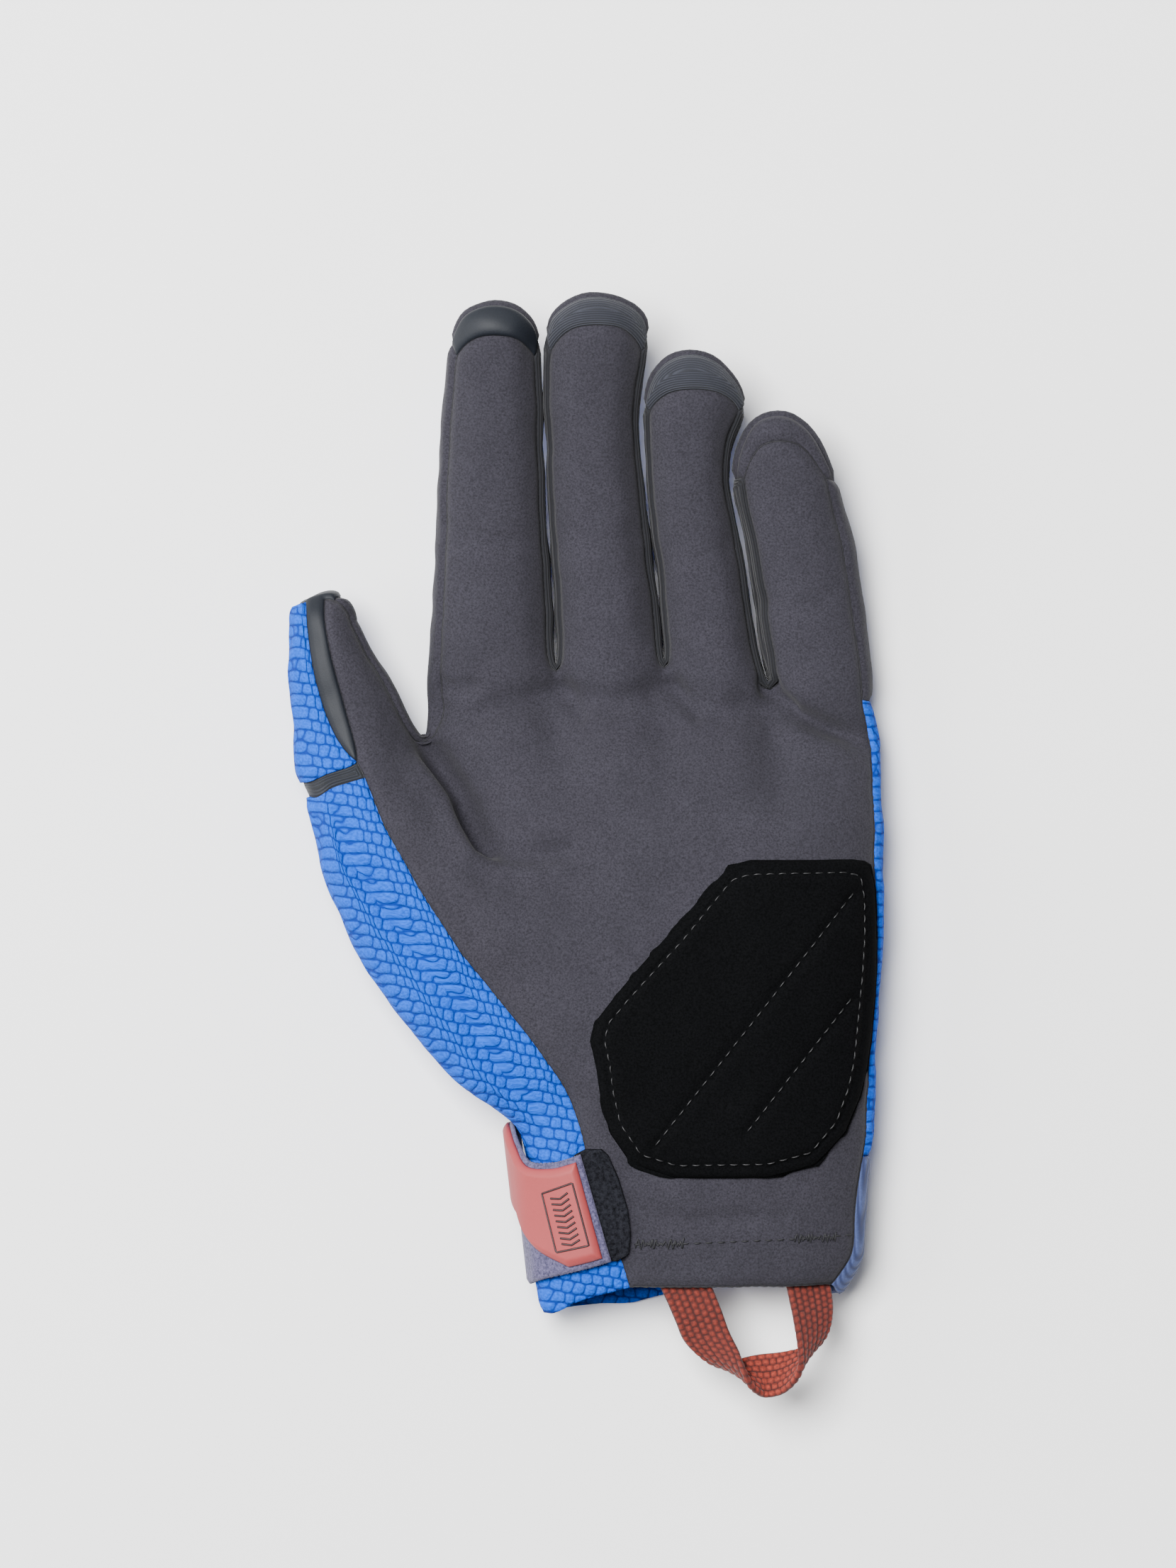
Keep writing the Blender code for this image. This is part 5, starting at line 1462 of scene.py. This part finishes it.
def make_threads(settings):
    """Thread along the palm's seams, partly standing for their painted shadow, the cuff's stitch line and its
    two bar tacks.
    """
    base, normals, quads = skin(settings.fine_level).panel("palm_panel")
    parts = []
    for run in chain(border_of(quads).tolist()):
        if len(run) < 8:
            continue
        # The dark thread sits at the bottom of each seam's dip: partly the seam's thread, partly a painted
        # shadow line along the seam.
        path = even(base[run] - normals[run] * SEAM_THREAD * MM, 0.6 * MM)
        parts.append(tube(path, 0.00013 * (1 + 0.4 * np.sin(np.arange(len(path)) * 2.1))))
    ready(new_object("seam_thread_and_shadow", *joined(parts), LOOKS["thread"]))
    tree = surface_of(settings)
    parts = [stitches(*laid(tree, even_plan(CUFF_LINE, 0.8), 0.05 * MM), 0.0024, 0.62, 0.00019)]
    stroke = np.arange(TACK_STROKES)
    for left, right, low, high in BAR_TACKS:
        middle = 0.5 * (low + high)
        reach = (np.where(stroke % 2, high, low) - middle) * (0.55 + 0.25 * np.sin(stroke * 7.1))
        across = left + np.linspace(0, 1, TACK_STROKES) * (right - left) + 0.35 * np.sin(stroke * 12.9898)
        place, _ = laid(tree, even_plan(np.column_stack((across, middle + reach)), 0.7), 0.16 * MM)
        parts.append(tube(place, 0.00016))
    ready(new_object("cuff_stitches", *joined(parts), LOOKS["thread"]))


def fine_sheet(sheet, rows, columns):
    """A coarse grid of points read again on smooth curves."""
    def spread(values, count):
        n = len(values)
        where = np.linspace(0, n - 1, count)
        i = np.clip(where.astype(int), 0, n - 2)
        t = (where - i)[:, None]
        flat = values.reshape(n, -1)
        slope = np.gradient(flat, axis=0)
        a, b = flat[i], flat[i + 1]
        out = (1 + 2 * t) * (1 - t) ** 2 * a + t * (1 - t) ** 2 * slope[i]
        out += t * t * (3 - 2 * t) * b - t * t * (1 - t) * slope[i + 1]
        return out.reshape((count,) + values.shape[1:])
    return spread(spread(sheet, rows).transpose(1, 0, 2), columns).transpose(1, 0, 2)


def cells_to_side(count):
    """How many cells each place across a grid lies from its nearer side."""
    return np.minimum(np.arange(count), np.arange(count)[::-1])


def border_cells(rows, columns):
    return np.minimum(cells_to_side(rows)[:, None], cells_to_side(columns)[None])


def make_strap(settings):
    """Strap, rubber tab with its raised frame, and the hook pad under it."""
    shell = build_shell()
    points = np.array(shell.points)
    surface = Surface(points, corner_normals(points, shell.faces), shell.faces)
    rows, columns = STRAP_GRID
    grid = fine_sheet(strap_sheet(surface) - ORIGIN, rows, columns)
    ways = grid_normals(grid)
    if ways[-1, :, 2].mean() < 0:
        ways = -ways
    fray = 0.10 * MM * np.sin(np.arange(rows) * 2.7)
    grid[:, 0, 1] += fray
    grid[:, -1, 1] -= fray
    thick = STRAP_THICKNESS * np.clip(0.45 + border_cells(rows, columns) / 3, 0, 1)
    outer = grid + ways * thick[..., None]
    base = sheet_solid("skin_strap_base", outer, grid, STRAP_GRID, LOOKS["loop cloth"])
    ready(base, ("strap_base",))
    make_tab(grid, ways)
    size = HOOK_GRID
    share = np.linspace(0, 1, size[1])
    plan = band_plan(HOOK, size[0], share)
    crease = np.abs((1 - np.tile(share, size[0])) * 10.0 - 2.0)
    lift = HOOK_HEIGHT - HOOK_DIP * bell(crease, 0.5) + 0.10 * plan_ripple(plan, 2.2, 9)
    inner, ups = laid(surface_of(settings), plan, 0.1 * MM)
    pad = sheet_solid("skin_strap_hook_pad", inner + ups * (lift * MM)[:, None], inner, size, LOOKS["hook"])
    ready(pad, ("strap_hook_pad",))


def make_tab(grid, ways):
    """Rubber tab on a part of the strap's grid, with its frame and grip ridges."""
    rows, columns = STRAP_GRID
    where = np.linspace(0, len(STRAP) - 1, rows)
    above = np.interp(where, np.arange(len(STRAP)), [row.above for row in STRAP])
    below = np.interp(where, np.arange(len(STRAP)), [row.below for row in STRAP])
    across = np.linspace(0, 1, columns)
    start = int(rows * TAB_START)
    end = start + int((rows - start) * (1 - TAB_END))
    shares = [np.linspace(above[i], below[i], columns) for i in range(start, end)]
    tab = np.array([read_path(s, across, line) for s, line in zip(shares, grid[start:end])])
    up = np.array([read_path(s, across, line) for s, line in zip(shares, ways[start:end])])
    near = border_cells(len(tab), columns)
    height = STRAP_THICKNESS + 0.1 * MM + GRIP_THICKNESS * np.sqrt(np.clip((near + 0.4) / 5, 0, 1))
    outer = tab + up * height[..., None]
    inner = tab + up * 0.9 * STRAP_THICKNESS
    tread = sheet_solid("skin_strap_grip", outer, inner, tab.shape, LOOKS["rubber"])
    ready(tread, ("strap_grip",))
    cover = tree_over(outer.reshape(-1, 3), grid_faces(len(tab) - 1, columns - 1))
    frame_line = np.array(TAB_FRAME)
    lines = [(frame_line, 0.5, 0.00023)]
    a, b, c, d = frame_line[:4]
    for share in np.linspace(0.12, 0.88, RIDGES):
        left, right = a + share * (d - a), b + share * (c - b)
        bend = left + 0.5 * (right - left) + 0.055 * (d - a)
        bar = np.array((left + 0.22 * (right - left), bend, left + 0.78 * (right - left)))
        lines.append((bar, 0.4, 0.00024))
    parts = []
    for line, gap, radius in lines:
        place, _ = laid(cover, even_plan(line, gap), 0.02 * MM)
        parts.append(tube(place, radius, 6))
    ready(new_object("grip_ridges", *joined(parts), LOOKS["mark"]))


def make_loop():
    """Webbing loop with its chunky weave."""
    rows, columns = LOOP_GRID
    grid = fine_sheet(loop_sheet() - ORIGIN, rows, columns)
    ways = grid_normals(grid)
    length = lengths_along(grid[:, columns // 2]) / MM
    u, v = np.meshgrid(length, np.linspace(0, WEBBING_WIDTH / MM, columns), indexing="ij")
    odd = (np.floor(v / BEAD_WIDTH) % 2) * 0.5 * BEAD_LENGTH
    bead_and_shade = np.abs(np.sin(np.pi * v / BEAD_WIDTH)) ** 0.6
    bead_and_shade *= np.abs(np.sin(np.pi * (u + odd) / BEAD_LENGTH)) ** 0.5
    side = np.clip(0.5 + cells_to_side(columns)[None] / 4, 0, 1)
    half = WEBBING_THICKNESS * 0.5 * side + BEAD_HEIGHT * MM * (bead_and_shade - 0.5)
    outer, inner = grid + ways * half[..., None], grid - ways * half[..., None]
    obj = sheet_solid("skin_pull_loop", outer, inner, LOOP_GRID, LOOKS["webbing"])
    # Painted shade: the bead profile darkens the weave's valleys, and the inner face gets only 0.6 of it, so
    # that side is painted darker.
    shade = np.concatenate((bead_and_shade.reshape(-1), 0.6 * bead_and_shade.reshape(-1)))
    add_vector(obj, "bead_and_shade", shade, shade, shade)
    ready(obj, ("pull_loop",))


def area_light(name, place, aim, size, power):
    lamp = bpy.data.lights.new(name, "AREA")
    lamp.shape = "RECTANGLE"
    lamp.size, lamp.size_y = size
    lamp.energy = power
    obj = bpy.data.objects.new(name, lamp)
    obj.location = place
    obj.rotation_euler = (Vector(aim) - Vector(place)).to_track_quat("-Z", "Y").to_euler()
    bpy.context.scene.collection.objects.link(obj)


def make_stage(settings):
    """Pale floor, soft studio lights and the camera straight above."""
    look = bpy.data.materials.new("pale floor")
    look.use_nodes = True
    shader = look.node_tree.nodes["Principled BSDF"]
    shader.inputs["Base Color"].default_value = (0.86, 0.86, 0.86, 1.0)
    shader.inputs["Roughness"].default_value = 0.9
    ring = [(x * FLOOR_SIZE, y * FLOOR_SIZE, -FLOOR_DROP) for x, y in ((-1, -1), (1, -1), (1, 1), (-1, 1))]
    floor = new_object("floor", ring, ((0, 1, 2, 3),), look, False)
    world = bpy.data.worlds.new("studio")
    bpy.context.scene.world = world
    world.use_nodes = True
    background = world.node_tree.nodes["Background"]
    background.inputs["Color"].default_value = (1.0, 1.0, 1.0, 1.0)
    background.inputs["Strength"].default_value = settings.fill
    area_light("key", (-0.30, 0.30, 1.35), (0, 0, 0), (0.6, 0.6), settings.key)
    area_light("side", (-1.0, 0.1, 0.6), (0, 0, 0.02), (0.7, 0.9), settings.key * 0.22)
    camera = bpy.data.cameras.new("camera")
    camera.sensor_fit = "VERTICAL"
    camera.angle = 2 * np.arctan(0.5 * VIEW_HEIGHT * MM / (CAMERA_HEIGHT - PALM_LEVEL))
    camera.dof.use_dof = False
    camera.clip_start = 0.05
    obj = bpy.data.objects.new("camera", camera)
    bpy.context.scene.collection.objects.link(obj)
    obj.location = (VIEW_MIDDLE[0] * MM - ORIGIN[0], VIEW_MIDDLE[1] * MM - ORIGIN[1], CAMERA_HEIGHT)
    bpy.context.scene.camera = obj


class GloveSettings(bpy.types.PropertyGroup):
    fine_level: bpy.props.IntProperty(
        name="Fine level", description="Subdivision of the palm side's panels", default=3, min=1, max=3)
    coarse_level: bpy.props.IntProperty(
        name="Coarse level", description="Subdivision of the other panels", default=2, min=1, max=3)
    suede: bpy.props.FloatVectorProperty(
        name="Suede", description="Colour of the palm's suede", default=(0.0235, 0.0220, 0.0295),
        min=0.0, max=1.0, subtype="COLOR")
    knit: bpy.props.FloatVectorProperty(
        name="Knit", description="Colour of the knit on the back and thumb side",
        default=(0.000, 0.070, 0.470), min=0.0, max=1.0, subtype="COLOR")
    rubber: bpy.props.FloatVectorProperty(
        name="Rubber", description="Colour of the strap's tab", default=(0.250, 0.036, 0.037),
        min=0.0, max=1.0, subtype="COLOR")
    webbing: bpy.props.FloatVectorProperty(
        name="Webbing", description="Colour of the pull loop", default=(0.200, 0.024, 0.013),
        min=0.0, max=1.0, subtype="COLOR")
    key: bpy.props.FloatProperty(
        name="Key light", description="Power of the main light", default=62.0, min=0.0, unit="POWER")
    fill: bpy.props.FloatProperty(
        name="Fill light", description="Strength of the surrounding light", default=0.28, min=0.0)


class GLOVE_OT_panels(bpy.types.Operator):
    """Make the sewn panels of the glove"""

    bl_idname = "glove.panels"
    bl_label = "Make panels"

    def execute(self, context):
        make_looks(context.scene.glove)
        for cloth in CLOTHS:
            make_panel(cloth, context.scene.glove)
        return {"FINISHED"}


class GLOVE_OT_threads(bpy.types.Operator):
    """Sew the seams, the cuff and its bar tacks"""

    bl_idname = "glove.threads"
    bl_label = "Sew seams"

    def execute(self, context):
        make_threads(context.scene.glove)
        return {"FINISHED"}


class GLOVE_OT_heel(bpy.types.Operator):
    """Make the padded heel patch"""

    bl_idname = "glove.heel"
    bl_label = "Make heel patch"

    def execute(self, context):
        make_heel(context.scene.glove)
        return {"FINISHED"}


class GLOVE_OT_strap(bpy.types.Operator):
    """Make the wrist strap, its rubber tab and its hook pad"""

    bl_idname = "glove.strap"
    bl_label = "Make strap"

    def execute(self, context):
        make_strap(context.scene.glove)
        return {"FINISHED"}


class GLOVE_OT_loop(bpy.types.Operator):
    """Make the pull loop"""

    bl_idname = "glove.loop"
    bl_label = "Make pull loop"

    def execute(self, context):
        make_loop()
        return {"FINISHED"}


class GLOVE_OT_stage(bpy.types.Operator):
    """Lay the floor and set the lights and the camera"""

    bl_idname = "glove.stage"
    bl_label = "Set stage"

    def execute(self, context):
        make_stage(context.scene.glove)
        return {"FINISHED"}


OPERATORS = (GLOVE_OT_panels, GLOVE_OT_threads, GLOVE_OT_heel, GLOVE_OT_strap, GLOVE_OT_loop, GLOVE_OT_stage)


class GLOVE_PT_panel(bpy.types.Panel):
    """Settings and steps of the glove"""

    bl_idname = "GLOVE_PT_panel"
    bl_label = "Sports glove"
    bl_space_type = "VIEW_3D"
    bl_region_type = "UI"
    bl_category = "Glove"

    def draw(self, context):
        for name in GloveSettings.__annotations__:
            self.layout.prop(context.scene.glove, name)
        for operator in OPERATORS:
            self.layout.operator(operator.bl_idname)


def register():
    for made in (GloveSettings, *OPERATORS, GLOVE_PT_panel):
        bpy.utils.register_class(made)
    bpy.types.Scene.glove = bpy.props.PointerProperty(type=GloveSettings)


def unregister():
    del bpy.types.Scene.glove
    for made in reversed((GloveSettings, *OPERATORS, GLOVE_PT_panel)):
        bpy.utils.unregister_class(made)


def corners(bounds):
    return [[float(v) for v in corner] for corner in bounds]


def main():
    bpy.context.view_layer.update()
    register()
    bpy.ops.glove.panels()
    bpy.ops.glove.threads()
    bpy.ops.glove.heel()
    bpy.ops.glove.strap()
    bpy.ops.glove.loop()
    bpy.ops.glove.stage()


if __name__ == "__main__":
    main()
